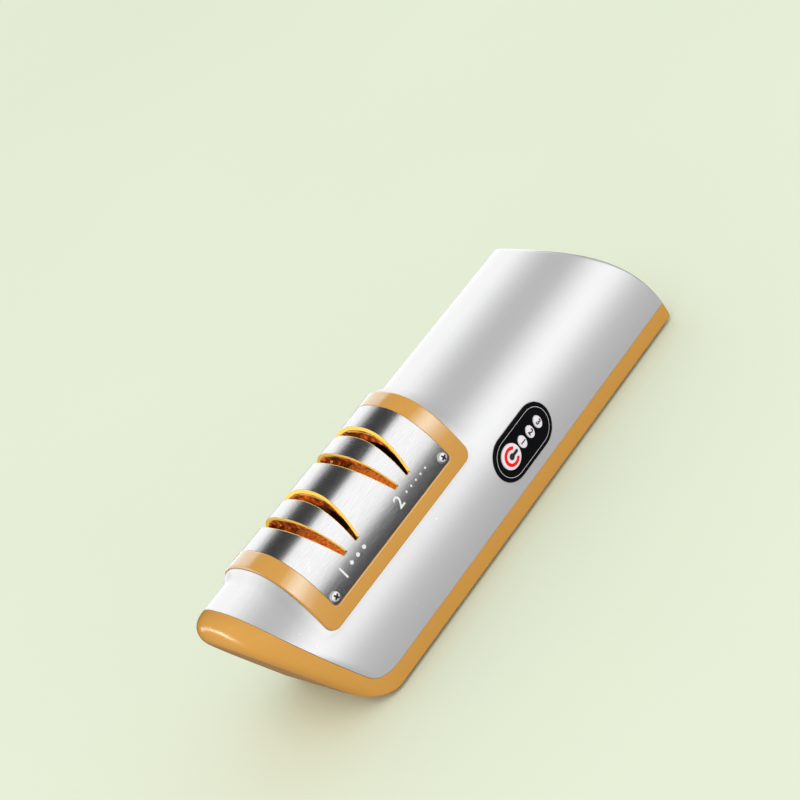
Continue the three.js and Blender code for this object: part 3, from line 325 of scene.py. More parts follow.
def outer_form():
    return body_form("form", 0, 0, NEAR_EDGE, FAR_EDGE, ARCH_STEPS, EDGE_STEPS, END_RINGS, FOOT_EDGE)


def inner_form(inset, floor):
    return body_form("inside", inset, floor, NEAR_EDGE - inset, FAR_EDGE / 2, INNER_ARCH_STEPS,
                     INNER_EDGE_STEPS, INNER_END_RINGS, 0)


# Meshes


def new_object(name, mesh):
    obj = bpy.data.objects.new(name, mesh)
    bpy.context.scene.collection.objects.link(obj)
    return obj


def from_data(name, points, faces):
    mesh = bpy.data.meshes.new(name)
    mesh.from_pydata([tuple(p) for p in points], [], faces)
    work = bmesh.new()
    work.from_mesh(mesh)
    bmesh.ops.remove_doubles(work, verts=work.verts, dist=1e-5)
    bmesh.ops.recalc_face_normals(work, faces=work.faces)
    work.to_mesh(mesh)
    work.free()
    return new_object(name, mesh)


def skin(name, rings, capped):
    """Quads over rings of equal counts. The ends close on the middle of their ring, or the rings join."""
    count = len(rings[0])
    points = [p for ring in rings for p in ring]
    faces = []
    total = len(rings) - 1 if capped else len(rings)
    for r in range(total):
        here, there = r * count, (r + 1) % len(rings) * count
        for i in range(count):
            j = (i + 1) % count
            faces.append((here + i, there + i, there + j, here + j))
    if capped:
        for r in (0, len(rings) - 1):
            middle = len(points)
            points.append([sum(p[k] for p in rings[r]) / count for k in range(3)])
            faces += [(middle, r * count + i, r * count + (i + 1) % count) for i in range(count)]
    return from_data(name, points, faces)


def prism(name, outline, axis, low, high):
    """A closed outline pushed along one axis. The outline's pairs are the other two axes in order."""

    def place(pair, value):
        point = list(pair)
        point.insert(axis, value)
        return tuple(point)

    count = len(outline)
    points = [place(p, low) for p in outline] + [place(p, high) for p in outline]
    faces = [(i, (i + 1) % count, count + (i + 1) % count, count + i) for i in range(count)]
    faces += [tuple(range(count)), tuple(range(2 * count - 1, count - 1, -1))]
    return from_data(name, points, faces)


def rounded_rectangle(u0, u1, v0, v1, radius, steps=CORNER_STEPS):
    corners = [(u1 - radius, v0 + radius, -90), (u1 - radius, v1 - radius, 0),
               (u0 + radius, v1 - radius, 90), (u0 + radius, v0 + radius, 180)]
    outline = []
    for u, v, start in corners:
        for k in range(steps + 1):
            turn = math.radians(start + 90 * k / steps)
            outline.append((u + radius * math.cos(turn), v + radius * math.sin(turn)))
    return outline


def pill(inset=0.0):
    """The panel's outline, drawn in by an inset."""
    half, reach = PANEL_LENGTH / 2 - inset, PANEL_WIDTH / 2 - inset
    return rounded_rectangle(-half, half, -reach, reach, reach - 1e-4, OVAL_STEPS // 2)


def combine(obj, other, operation):
    """One exact Boolean; the other solid is used up."""
    step = obj.modifiers.new("step", "BOOLEAN")
    step.operation = operation
    step.solver = "MANIFOLD"
    step.object = other
    graph = bpy.context.evaluated_depsgraph_get()
    mesh = bpy.data.meshes.new_from_object(obj.evaluated_get(graph))
    if not mesh.polygons:
        raise RuntimeError(f"{operation} left nothing of {obj.name}")
    obj.modifiers.remove(step)
    obj.data = mesh
    bpy.data.objects.remove(other)
    return obj


def cut(obj, *others):
    for other in others:
        combine(obj, other, "DIFFERENCE")
    return obj


def keep(obj, other):
    return combine(obj, other, "INTERSECT")


def join(obj, *others):
    for other in others:
        combine(obj, other, "UNION")
    return obj


def settle(obj, name, body, slot, nodes=(), offsets=(), sharp=30, finish=None):
    """Moves a piece into the row frame, shades it, gives it its body and finish, and hides the CAD nodes
    that it replaces.

    The finish is the slot's own unless another is named. offsets are the arch offsets whose faces
    take the arch's exact normals.
    """
    mesh = obj.data
    mesh.transform(Matrix.Scale(MM, 4) @ Matrix.Translation(Vector(SHIFT)))
    mesh.shade_smooth()
    mesh.set_sharp_from_angle(angle=math.radians(sharp))
    if offsets:
        exact_normals(mesh, offsets)
    mesh.materials.clear()
    mesh.materials.append(FINISHES[finish or slot])
    obj.name = name
    mesh.name = name
    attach(obj, body)
    if nodes:
        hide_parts(*nodes)
    return obj


def exact_normals(mesh, offsets):
    normals = [Vector(c.vector) for c in mesh.corner_normals]
    for face in mesh.polygons:
        for index in face.loop_indices:
            place = mesh.vertices[mesh.loops[index].vertex_index].co
            y, z = place.y / MM, place.z / MM - SHIFT[2]
            if z < FOOT_EDGE + GAP:
                continue
            for out in offsets:
                if abs(arch_height(y, z, out) - 1) < ON_ARCH:
                    exact = arch_normal(y, z, out)
                    if exact.dot(face.normal) > ALONG_ARCH:
                        normals[index] = exact
                    break
    mesh.normals_split_custom_set(normals)


def lean_to_arch(mesh, blend):
    """Leans a low form's normals towards the arch it stands on, so that it reads as part of it."""
    normals = []
    for corner, loop in zip(mesh.corner_normals, mesh.loops):
        place = mesh.vertices[loop.vertex_index].co
        arch = arch_normal(place.y / MM, place.z / MM - SHIFT[2], 0)
        own = Vector(corner.vector)
        normals.append((own.lerp(arch, blend)).normalized() if own.dot(arch) > 0.3 else own)
    mesh.normals_split_custom_set(normals)


# Materials


def nodes_of(name):
    finish = bpy.data.materials.new(name)
    finish.use_nodes = True
    tree = finish.node_tree
    return finish, tree, tree.nodes["Principled BSDF"]


def link(tree, source, target):
    tree.links.new(source, target)


def object_noise(tree, scale, detail=3.0, stretch=(1, 1, 1), rough=0.5):
    """Noise in the object's own metres, stretched by axis; gives its output, as ramp and spread do."""
    place = tree.nodes.new("ShaderNodeTexCoord")
    mapping = tree.nodes.new("ShaderNodeMapping")
    mapping.inputs["Scale"].default_value = stretch
    noise = tree.nodes.new("ShaderNodeTexNoise")
    noise.inputs["Scale"].default_value = scale
    noise.inputs["Detail"].default_value = detail
    noise.inputs["Roughness"].default_value = rough
    link(tree, place.outputs["Object"], mapping.inputs["Vector"])
    link(tree, mapping.outputs["Vector"], noise.inputs["Vector"])
    return noise.outputs["Fac"]


def ramp(tree, source, stops):
    node = tree.nodes.new("ShaderNodeValToRGB")
    elements = node.color_ramp.elements
    while len(elements) > 1:
        elements.remove(elements[-1])
    for i, (place, colour) in enumerate(stops):
        element = elements[0] if i == 0 else elements.new(place)
        element.position = place
        element.color = (*colour, 1)
    link(tree, source, node.inputs["Fac"])
    return node.outputs["Color"]


def spread(tree, source, low, high):
    node = tree.nodes.new("ShaderNodeMapRange")
    node.inputs["To Min"].default_value = low
    node.inputs["To Max"].default_value = high
    link(tree, source, node.inputs["Value"])
    return node.outputs["Result"]


def bump(tree, shader, source, strength, distance, edge=0.0):
    """Bump from a height, over normals that are rounded at sharp edges."""
    node = tree.nodes.new("ShaderNodeBump")
    node.inputs["Strength"].default_value = strength
    node.inputs["Distance"].default_value = distance
    link(tree, source, node.inputs["Height"])
    if edge:
        soft = tree.nodes.new("ShaderNodeBevel")
        soft.samples = 6
        soft.inputs["Radius"].default_value = edge
        link(tree, soft.outputs["Normal"], node.inputs["Normal"])
    link(tree, node.outputs["Normal"], shader.inputs["Normal"])


def plastic(name, colour, roughness, mottle=0.06, grain=0.02, metallic=0.0, coat=0.0, edge=0.0002,
            wear=0.15, specular=0.5):
    """Moulded plastic: a touch of mottle in the colour and the gloss, and a fine moulded grain."""
    finish, tree, shader = nodes_of(name)
    cloud = object_noise(tree, 60, 4)
    light = tuple(min(1, c * (1 + mottle)) for c in colour)
    dark = tuple(c * (1 - mottle) for c in colour)
    link(tree, ramp(tree, cloud, [(0.3, dark), (0.7, light)]), shader.inputs["Base Color"])
    patches = object_noise(tree, 400, 5)
    gloss = spread(tree, patches, roughness * (1 - wear), roughness * (1 + wear))
    link(tree, gloss, shader.inputs["Roughness"])
    shader.inputs["Specular IOR Level"].default_value = specular
    shader.inputs["Metallic"].default_value = metallic
    shader.inputs["Coat Weight"].default_value = coat
    shader.inputs["Coat Roughness"].default_value = 0.12
    skin_grain = object_noise(tree, 5000, 2)
    bump(tree, shader, skin_grain, grain, 0.00005, edge)
    return name, finish


def brushed(name, colour, roughness, along, streak, strength):
    """Brushed or turned metal: streaks along one axis in gloss, colour and height."""
    finish, tree, shader = nodes_of(name)
    shader.inputs["Metallic"].default_value = 1.0
    stretch = tuple(streak if axis == along else 1.0 for axis in range(3))
    lines = object_noise(tree, 9000, 3, stretch, 0.6)
    light = tuple(min(1, c * 1.08) for c in colour)
    dark = tuple(c * 0.86 for c in colour)
    link(tree, ramp(tree, lines, [(0.3, dark), (0.7, light)]), shader.inputs["Base Color"])
    link(tree, spread(tree, lines, roughness * 0.8, roughness * 1.25), shader.inputs["Roughness"])
    shader.inputs["Anisotropic"].default_value = 0.6
    tangent = tree.nodes.new("ShaderNodeTangent")
    tangent.direction_type = "RADIAL"
    tangent.axis = "XYZ"[along]
    link(tree, tangent.outputs["Tangent"], shader.inputs["Tangent"])
    bump(tree, shader, lines, strength, 0.00003, 0.00012)
    return name, finish


def abrasive(name, dark, mid, light, scale):
    """Bonded grit: grains of several tones that stand out of the bond."""
    finish, tree, shader = nodes_of(name)
    place = tree.nodes.new("ShaderNodeTexCoord")
    grains = tree.nodes.new("ShaderNodeTexVoronoi")
    grains.inputs["Scale"].default_value = scale
    link(tree, place.outputs["Object"], grains.inputs["Vector"])
    clumps = object_noise(tree, scale / 3, 4)
    mix = tree.nodes.new("ShaderNodeMix")
    mix.inputs["Factor"].default_value = 0.5
    link(tree, grains.outputs["Distance"], mix.inputs[2])
    link(tree, clumps, mix.inputs[3])
    tones = ramp(tree, mix.outputs[0], [(0.25, light), (0.42, mid), (0.62, dark)])
    link(tree, tones, shader.inputs["Base Color"])
    shader.inputs["Roughness"].default_value = 0.7
    shader.inputs["Specular IOR Level"].default_value = 0.2
    bump(tree, shader, mix.outputs[0], 0.9, 0.0003)
    return name, finish


def board_finish(name):
    """Solder mask with faint copper runs under it."""
    finish, tree, shader = nodes_of(name)
    place = tree.nodes.new("ShaderNodeTexCoord")
    runs = tree.nodes.new("ShaderNodeTexBrick")
    runs.inputs["Scale"].default_value = 260
    runs.inputs["Color1"].default_value = (0.02, 0.16, 0.06, 1)
    runs.inputs["Color2"].default_value = (0.02, 0.2, 0.07, 1)
    runs.inputs["Mortar"].default_value = (0.07, 0.3, 0.1, 1)
    link(tree, place.outputs["Object"], runs.inputs["Vector"])
    link(tree, runs.outputs["Color"], shader.inputs["Base Color"])
    shader.inputs["Roughness"].default_value = 0.35
    grain = object_noise(tree, 3000)
    bump(tree, shader, grain, 0.1, 0.00005)
    return name, finish


def make_finishes():
    """Materials by name. The frame's own have the same names, so Blender numbers these."""
    made = [
        plastic("pearl_plastic", (0.645, 0.645, 0.65), 0.27, 0.006, 0.004, metallic=0.35, wear=0.03),
        plastic("gold_plastic", (0.635, 0.318, 0.063), 0.2, 0.012, 0.008, edge=0.0003, wear=0.06,
                specular=1.0),
        brushed("steel_sheet", (0.88, 0.88, 0.885), 0.21, 0, 0.03, 0.12),
        brushed("steel_turned", (0.72, 0.72, 0.73), 0.24, 0, 1.0, 0.15),
        plastic("liner_plastic", (0.86, 0.55, 0.1), 0.42, 0.05, 0.03),
        # Painted shade: a darker, redder copy of the liner plastic for its deeper walls, with grains of
        # several tones
        abrasive("amber_plastic", (0.1, 0.016, 0.003), (0.42, 0.07, 0.009), (0.88, 0.22, 0.028), 420),
        plastic("black_plastic", (0.022, 0.022, 0.024), 0.5, 0.1, 0.1),
        plastic("gloss_black", (0.006, 0.006, 0.007), 0.25, 0.1, 0.01),
        plastic("button_plastic", (0.84, 0.79, 0.82), 0.35, 0.015, 0.02),
        abrasive("coarse_grit", (0.26, 0.035, 0.004), (0.68, 0.15, 0.018), (0.92, 0.34, 0.05), 2600),
        abrasive("fine_grit", (0.3, 0.04, 0.005), (0.72, 0.18, 0.022), (0.92, 0.37, 0.06), 3600),
        brushed("bronze", (0.55, 0.35, 0.16), 0.35, 0, 1.0, 0.2),
        plastic("rubber", (0.02, 0.02, 0.021), 0.85, 0.2, 0.4),
        board_finish("circuit_board"),
        plastic("cell_wrap", (0.03, 0.16, 0.42), 0.3, 0.03, 0.02, coat=0.3),
        plastic("red_print", (0.95, 0.006, 0.003), 0.5, 0.02, 0.0, specular=0.2),
        # Dark print, also used as painted shade in the screws' cross recesses
        plastic("dark_print", (0.035, 0.03, 0.032), 0.45, 0.05, 0.0),
        plastic("white_print", (0.85, 0.85, 0.85), 0.4, 0.02, 0.0),
        plastic("silver_print", (0.86, 0.86, 0.87), 0.4, 0.02, 0.0),
    ]
    return dict(made)


FINISHES = make_finishes()


# Housing


def parting_outline(shift, side):
    """The parting line in (X, Z); near of it and below it is the base's side."""
    top = HEIGHT + CUT
    foot_z = RIM_HEIGHT + CORNER_RISE
    foot_x = near_end(foot_z) + CAP_FOOT_WIDTH
    waist_z = HEIGHT * WAIST_HEIGHT_SHARE
    waist_x = near_end(waist_z) + CAP_WAIST_WIDTH
    crown_x = near_end(HEIGHT) + CAP_CROWN_WIDTH
    lean = (foot_x - waist_x) / (waist_z - foot_z)

    def curve(start, control, end):
        points = []
        for k in range(1, PARTING_STEPS + 1):
            t = k / PARTING_STEPS
            points.append(tuple((1 - t) ** 2 * a + 2 * t * (1 - t) * b + t * t * c
                                for a, b, c in zip(start, control, end)))
        return points

    corner = (foot_x + CORNER_RUN, RIM_HEIGHT)
    bend = (foot_x + lean * CORNER_RISE, RIM_HEIGHT)
    foot, waist, crown = (foot_x, foot_z), (waist_x, waist_z), (crown_x, HEIGHT)
    line = [(LENGTH, RIM_HEIGHT), corner] + curve(corner, bend, foot) + curve(foot, waist, crown)
    line.append((crown_x, top))
    line = [(x + shift, z + shift) for x, z in line]
    if side == "base":
        return line + [(-LENGTH, top + shift), (-LENGTH, -CUT), (LENGTH + shift, -CUT)]
    return line + [(LENGTH + shift, top + shift)]


def parting(shift, side):
    return prism("parting", parting_outline(shift, side), 1, -WIDTH, WIDTH)


def saddle_cutter(half, foot, radius):
    near, far = MODULE_CENTRE - half, MODULE_CENTRE + half
    outline = rounded_rectangle(near, far, foot, HEIGHT + 2 * CUT, radius)
    return prism("saddle", outline, 1, -WIDTH, WIDTH)


def box_places(node):
    """The middle of a CAD node in the body's own millimetres."""
    low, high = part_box(node)
    return [(low[k] + high[k]) / 2 / MM - SHIFT[k] for k in range(3)]


def round_prism(radius, low, high, x, y):
    outline = [(u, y + v) for u, v in oval(2 * radius, 2 * radius, x)]
    return prism("round", outline, 2, low, high)


def port_outline(extra):
    rise = PORT_THICKNESS / 2 + extra
    half = PORT_WIDTH / 2 + extra
    return rounded_rectangle(-half, half, PORT_HEIGHT - rise, PORT_HEIGHT + rise, rise - 0.4)


def make_base():
    """The gold base: the form's part under the parting line, hollow, with a lip inside the shell."""
    base = keep(outer_form(), parting(-SEAM / 2, "base"))
    lip = keep(inner_form(WALL + GAP, 0), parting(LIP_HEIGHT, "base"))
    cut(lip, parting(-LIP_HEIGHT, "base"))
    cut(base, inner_form(WALL, FLOOR))
    join(base, lip)
    cut(base, inner_form(WALL + GAP + LIP_THICKNESS, FLOOR))
    for i in range(4):
        x, y, _ = box_places(f"rubber_foot_{i + 1}")
        cut(base, round_prism(FOOT_RADIUS + GAP, -CUT, FOOT_RECESS, x, y))
        x, y, _ = box_places(f"base_screw_{i + 1}")
        cut(base, round_prism(SCREW_SINK_RADIUS, -CUT, SCREW_SINK, x, y))
    settle(base, "base", "housing", "gold_plastic", ["base_housing"], [0.0])


def make_shell():
    """The white shell, with the window over the wheels and the holes for panel and inlet."""
    shell = keep(outer_form(), parting(SEAM / 2, "shell"))
    cut(shell, inner_form(WALL, 0))
    half, foot = PLATE_LENGTH / 2 + GUIDE_FLANGE + GAP, PLATE_FOOT - GUIDE_FLANGE - GAP
    cut(shell, saddle_cutter(half, foot, PLATE_CORNER + GUIDE_FLANGE))
    wide, high = (1 + share for share in PANEL_HOLE_SPARE_SHARES)
    hole = prism("hole", [(u * wide, v * high) for u, v in pill()], 2, -CUT, CUT)
    hole.data.transform(panel_matrix())
    cut(shell, hole)
    cut(shell, prism("port", port_outline(SEAM), 0, far_end(PORT_HEIGHT) - 3 * WALL, LENGTH))
    settle(shell, "shell", "housing", "pearl_plastic", ["upper_shell"], [0.0])


def saddle_line(half, foot, radius, out):
    """The line round a saddle: up the near edge over the crown, down the far one, with its corners."""
    low = arch_angle(foot + radius, out)

    def corner(sign, back, k):
        turn = k / CORNER_STEPS * math.pi / 2
        x = MODULE_CENTRE + sign * (half - radius + radius * math.cos(turn))
        angle = arch_angle(foot + radius - radius * math.sin(turn), out)
        return (x, *arch_point(math.pi - angle if back else angle, out))

    def edge(sign, k):
        return (MODULE_CENTRE + sign * half,
                *arch_point(low + k / ARCH_STEPS * (math.pi - 2 * low), out))

    line = [edge(-1, k) for k in range(ARCH_STEPS)]
    line += [corner(-1, True, k) for k in range(CORNER_STEPS + 1)]
    line += [corner(1, True, k) for k in range(CORNER_STEPS, 0, -1)]
    line += [edge(1, k) for k in range(ARCH_STEPS, 0, -1)]
    line += [corner(1, False, k) for k in range(CORNER_STEPS + 1)]
    line += [corner(-1, False, k) for k in range(CORNER_STEPS, 0, -1)]
    return line


def make_collar():
    """The soft white ring that the gold frame stands in, blended into the shell."""
    half, foot = FRAME_LENGTH / 2 + SEAM, FRAME_FOOT - SEAM
    profile = [(0, 0, -WALL / 2)]
    for u, v in quarter(EDGE_STEPS):
        across = COLLAR_ROUND / 2 * u
        profile.append((across, across, COLLAR_PROUD - COLLAR_ROUND / 2 * v))
    steps = 3 * EDGE_STEPS
    for k in range(1, steps + 1):
        t = k / steps
        drop = t * t * (3 - 2 * t)
        end = COLLAR_RIM / 2 + t * (COLLAR_RIM + COLLAR_END_RUN)
        side = COLLAR_RIM / 4 + t * (COLLAR_RIM / 2 + COLLAR_FOOT_RUN)
        profile.append((end, side, COLLAR_PROUD * (1 - drop) - COLLAR_SINK))
    profile.append((profile[-1][0], profile[-1][1], -WALL / 2))
    rings = []
    for end, side, out in profile:
        rings.append(saddle_line(half + end, foot - side, FRAME_CORNER + (end + side) / 2, out))
    collar = settle(skin("collar", rings, capped=False), "collar", "housing", "pearl_plastic", sharp=50)
    lean_to_arch(collar.data, COLLAR_BLEND)


# Grinding module


def make_frame():
    inner_half, inner_foot = PLATE_LENGTH / 2 + SEAM, PLATE_FOOT - SEAM
    rings = [saddle_line(inner_half, inner_foot, PLATE_CORNER + SEAM, -FRAME_SINK)]
    for u, v in quarter(EDGE_STEPS):
        back, out = FRAME_INNER_ROUND * u, FRAME_PROUD - FRAME_INNER_ROUND * v
        rings.append(saddle_line(inner_half + back, inner_foot - back, PLATE_CORNER + SEAM + back, out))
    for u, v in quarter(EDGE_STEPS):
        back, out = FRAME_ROUND * v, FRAME_PROUD - FRAME_ROUND * u
        rings.append(saddle_line(FRAME_LENGTH / 2 - back, FRAME_FOOT + back, FRAME_CORNER - back, out))
    rings.append(saddle_line(FRAME_LENGTH / 2, FRAME_FOOT, FRAME_CORNER, -FRAME_SINK))
    settle(skin("frame", rings, capped=False), "frame", "housing", "gold_plastic", ["module_frame"],
           sharp=50)


def arch_layer(low_out, high_out, half, drop=0.0, power=GUIDE_DROP_POWER):
    """A layer of the arch between two offsets, over the module; drop lowers its inside at the crown."""
    outer = arch_curve(high_out, RIM_HEIGHT, ARCH_STEPS)
    inner = arch_curve(low_out, RIM_HEIGHT, ARCH_STEPS)
    inner = [(y, z - drop * (z / HEIGHT) ** power) for y, z in inner]
    count = len(outer)
    x0, x1 = MODULE_CENTRE - half, MODULE_CENTRE + half
    points = [(x, y, z) for x in (x0, x1) for y, z in outer + inner]
    total = 2 * count
    faces = []
    for i in range(count - 1):
        faces.append((i, i + 1, total + i + 1, total + i))
        faces.append((count + i, count + i + 1, total + count + i + 1, total + count + i))
        for base in (0, total):
            faces.append((base + i, base + i + 1, base + count + i + 1, base + count + i))
    for i in (0, count - 1):
        faces.append((i, count + i, total + count + i, total + i))
    return from_data("layer", points, faces)


def slot_solids(inset, floor):
    """Slabs of the slots, drawn in by an inset: they lean apart from their wheel and flare upwards."""

    def inner(z):
        return SLOT_WEB / 2 + SLOT_SPLAY_SHARE * (z - SLOT_FLOOR) + inset

    def outer(z):
        return inner(z) + SLOT_WIDTH + SLOT_FLARE_SHARE * (z - SLOT_FLOOR) - 2 * inset

    top = HEIGHT + CUT
    corner = [(SLOT_CORNER * u, SLOT_CORNER * v) for u, v in quarter(SLOT_CORNER_STEPS)]
    outline = [(inner(top), top)] + [(inner(floor) + u, floor + v) for u, v in corner]
    outline += [(outer(floor) - u, floor + v) for u, v in reversed(corner)] + [(outer(top), top)]
    solids = []
    for stage in (-1, 1):
        middle = MODULE_CENTRE + stage * STAGE_SPACING / 2
        for sign in (-1, 1):
            solids.append(prism("slot", [(middle + sign * x, z) for x, z in outline], 1, -WIDTH, WIDTH))
    return solids


def make_plate():
    plate = keep(arch_layer(PLATE_BOTTOM, PLATE_TOP, PLATE_LENGTH),
                 saddle_cutter(PLATE_LENGTH / 2, PLATE_FOOT, PLATE_CORNER))
    cut(plate, *slot_solids(0.0, SLOT_FLOOR))
    settle(plate, "plate", "housing", "steel_sheet", ["steel_plate"], [PLATE_TOP])


def make_guide():
    """The guide's block, with a thin lip that rises through each slot of the sheet."""
    cutter = (PLATE_LENGTH / 2, PLATE_FOOT, PLATE_CORNER)
    guide = keep(arch_layer(GUIDE_SKIRT_OUT, PLATE_BOTTOM - SEAM, PLATE_LENGTH, GUIDE_CROWN_DROP),
                 saddle_cutter(*cutter))
    for solid in slot_solids(SEAM / 2, SLOT_FLOOR + SEAM / 2):
        lip = arch_layer(GUIDE_SKIRT_OUT, PLATE_TOP - LINER_BELOW_PLATE, PLATE_LENGTH, GUIDE_CROWN_DROP)
        join(guide, keep(lip, solid))
    cut(guide, *slot_solids(LINER_WALL, SLOT_FLOOR - 1))
    settle(guide, "guide", "housing", "liner_plastic", ["slot_guide"],
           [PLATE_TOP - LINER_BELOW_PLATE])
    # The core under the guide: the liner's deeper walls, in the liner plastic's darker copy as painted
    # shade
    core = keep(arch_layer(CORE_SKIRT_OUT, GUIDE_SKIRT_OUT - SEAM, PLATE_LENGTH, CORE_CROWN_DROP,
                           CORE_DROP_POWER),
                saddle_cutter(*cutter))
    cut(core, *slot_solids(LINER_WALL, SLOT_FLOOR - 1))
    settle(core, "core", "housing", "liner_plastic", finish="amber_plastic")


def turned(name, profile):
    """A ring turned about Z from (radius, height) pairs; the profile closes on itself."""
    rings = []
    for k in range(TURN_STEPS):
        a = 2 * math.pi * k / TURN_STEPS
        rings.append([(r * math.cos(a), r * math.sin(a), z) for r, z in profile])
    return skin(name, rings, capped=False)


def dome(radius, height, share):
    """(radius, height) pairs of a dome, from its foot almost to its middle; share is its rim's height."""
    points = [(radius, 0.0)]
    for k in range(DOME_STEPS):
        turn = k / DOME_STEPS * math.pi / 2
        points.append((radius * math.cos(turn), height * (share + (1 - share) * math.sin(turn))))
    return points


def cross_cutter(reach, width, depth, top):
    """A cross recess whose arms narrow as they go down."""
    bars = []
    for along in (0, 1):
        points = []
        for z, scale in ((top - depth, 0.45), (top + 1, 1.15)):
            a, b = reach * scale, width / 2 * (0.6 + 0.4 * scale)
            points += [(-a, -b, z), (a, -b, z), (a, b, z), (-a, b, z)]
        if along:
            points = [(y, x, z) for x, y, z in points]
        faces = [(0, 1, 2, 3), (4, 5, 6, 7), (0, 1, 5, 4), (1, 2, 6, 5), (2, 3, 7, 6), (3, 0, 4, 7)]
        bars.append(from_data("bar", points, faces))
    return join(bars[0], bars[1])


def make_pan_screws():
    """Pan screws on the sheet, each with a dark cross in its recess: painted shade on the recess's floor.
    """
    cross = (PAN_RADIUS * CROSS_REACH_SHARE, CROSS_WIDTH, PAN_HEIGHT * CROSS_DEPTH_SHARE, PAN_HEIGHT)
    profile = [(PAN_SHANK_RADIUS, -PAN_SHANK), (PAN_SHANK_RADIUS, 0.0)]
    profile += dome(PAN_RADIUS, PAN_HEIGHT, PAN_RIM_SHARE)
    foot = PLATE_FOOT + PAN_FROM_EDGE
    for i in range(4):
        x, y, _ = box_places(f"plate_screw_{i + 1}")
        rings = [[(u, v, h) for u, v in oval(2 * r, 2 * r, 0)] for r, h in profile]
        screw = skin("screw", rings, capped=True)
        cut(screw, cross_cutter(*cross))
        y = math.copysign(arch_point(arch_angle(foot, PLATE_TOP), PLATE_TOP)[0], y)
        normal = arch_normal(y, foot, PLATE_TOP)
        spin = Matrix.Rotation(math.radians(PAN_TURN_FIRST + PAN_TURN_STEP * i), 4, "Z")
        turn = normal.to_track_quat("Z", "Y").to_matrix().to_4x4()
        place = Matrix.Translation((x, y, foot)) @ turn @ spin
        # Painted shade: a dark cross sunk in the recess, standing for its shadowed floor
        shade = cross_cutter(*cross)
        keep(shade, prism("shade", oval(9, 9, 0, 8), 2, -1.0, PAN_HEIGHT * CROSS_SHADE_SHARE))
        shade.data.transform(place)
        settle(shade, f"pan_recess_{i + 1}", "housing", "steel_turned", finish="dark_print")
        screw.data.transform(place)
        settle(screw, f"pan_screw_{i + 1}", "housing", "steel_turned",
               [f"plate_screw_{i + 1}"])


def make_wheels():
    for name in ("coarse", "fine"):
        x, _, _ = box_places(f"{name}_abrasive_ring")
        half, edge = WHEEL_THICKNESS / 2, WHEEL_BEVEL
        profile = [(WHEEL_BORE, -half), (WHEEL_RADIUS - edge, -half), (WHEEL_RADIUS, edge - half),
                   (WHEEL_RADIUS, half - edge), (WHEEL_RADIUS - edge, half), (WHEEL_BORE, half)]
        ring = turned("ring", profile)
        place = Matrix.Translation((x, 0, SHAFT_HEIGHT)) @ Matrix.Rotation(math.pi / 2, 4, "Y")
        ring.data.transform(place)
        settle(ring, f"{name}_grit_ring", "rotor", f"{name}_grit", [f"{name}_abrasive_ring"])


# Control panel


def panel_matrix():
    y, _ = arch_point(arch_angle(PANEL_HEIGHT, 0), 0)
    normal = arch_normal(y, PANEL_HEIGHT, 0)
    turn = Matrix(((1, 0, 0), (0, normal.z, normal.y), (0, -normal.y, normal.z))).to_4x4()
    return Matrix.Translation((PANEL_CENTRE, y, PANEL_HEIGHT)) @ turn


def button_matrix():
    return panel_matrix() @ Matrix.Translation((0, BUTTON_RISE, 0))


def oval(length, width, x, steps=OVAL_STEPS):
    return [(x + length / 2 * math.cos(a), width / 2 * math.sin(a))
            for a in (2 * math.pi * k / steps for k in range(steps))]


def keys():
    """CAD node, body, place along the panel, length and width of each button."""
    rows = [("power_button", "power", POWER_PLACE, POWER_SIZE, POWER_SIZE)]
    for k, word in enumerate(("one", "two", "three")):
        place = KEY_FIRST + k * KEY_PITCH
        rows.append((f"key_{k + 1}", f"speed_{word}", place, KEY_LENGTH, KEY_WIDTH))
    return rows


def make_bezel():
    rings = [[(u, v, -PANEL_DEPTH) for u, v in pill()]]
    for back, down in quarter(EDGE_STEPS):
        rings.append([(u, v, PANEL_PROUD - PANEL_EDGE * down) for u, v in pill(PANEL_EDGE * back)])
    bezel = skin("bezel", rings, capped=True)
    for _, _, x, length, width in keys():
        hole = [(u, v + BUTTON_RISE) for u, v in oval(length + GAP, width + GAP, x)]
        cut(bezel, prism("hole", hole, 2, -CUT, CUT))
    bezel.data.transform(panel_matrix())
    settle(bezel, "bezel", "housing", "gloss_black", ["panel_bezel"])
    inset = INLAY_INSET
    line = prism("line", pill(inset), 2, PANEL_PROUD - 0.05, PANEL_PROUD + PRINT_THICKNESS)
    cut(line, prism("inside", pill(inset + INLAY_WIDTH), 2, -CUT, CUT))
    line.data.transform(panel_matrix())
    settle(line, "panel_line", "housing", "button_plastic", finish="white_print")


def make_buttons():
    for node, body, x, length, width in keys():
        rings = [[(u, v, -BUTTON_DEPTH) for u, v in oval(length, width, x)]]
        for back, down in quarter(EDGE_STEPS):
            inset = BUTTON_EDGE * back
            top = PANEL_PROUD + (BUTTON_TOP - BUTTON_CROWN - BUTTON_EDGE * down)
            rings.append([(u, v, top) for u, v in oval(length - 2 * inset, width - 2 * inset, x)])
        for share in (0.75, 0.5, 0.25):
            rise = PANEL_PROUD + BUTTON_TOP - BUTTON_CROWN * share * share
            size = [(side - 2 * BUTTON_EDGE) * share for side in (length, width)]
            rings.append([(u, v, rise) for u, v in oval(size[0], size[1], x)])
        button = skin("button", rings, capped=True)
        button.data.transform(button_matrix())
        settle(button, f"{node.removesuffix('_button')}_cap", body, "button_plastic", [node])


def flat_print(name, outlines, finish):
    """A print on the power button: closed outlines as thin solids over its crown."""
    low = PANEL_PROUD + BUTTON_TOP - BUTTON_CROWN - PRINT_SINK
    high = PANEL_PROUD + BUTTON_TOP + PRINT_THICKNESS
    solid = join(*(prism("print", outline, 2, low, high) for outline in outlines))
    solid.data.transform(button_matrix())
    settle(solid, name, "power", "button_plastic", finish=finish)


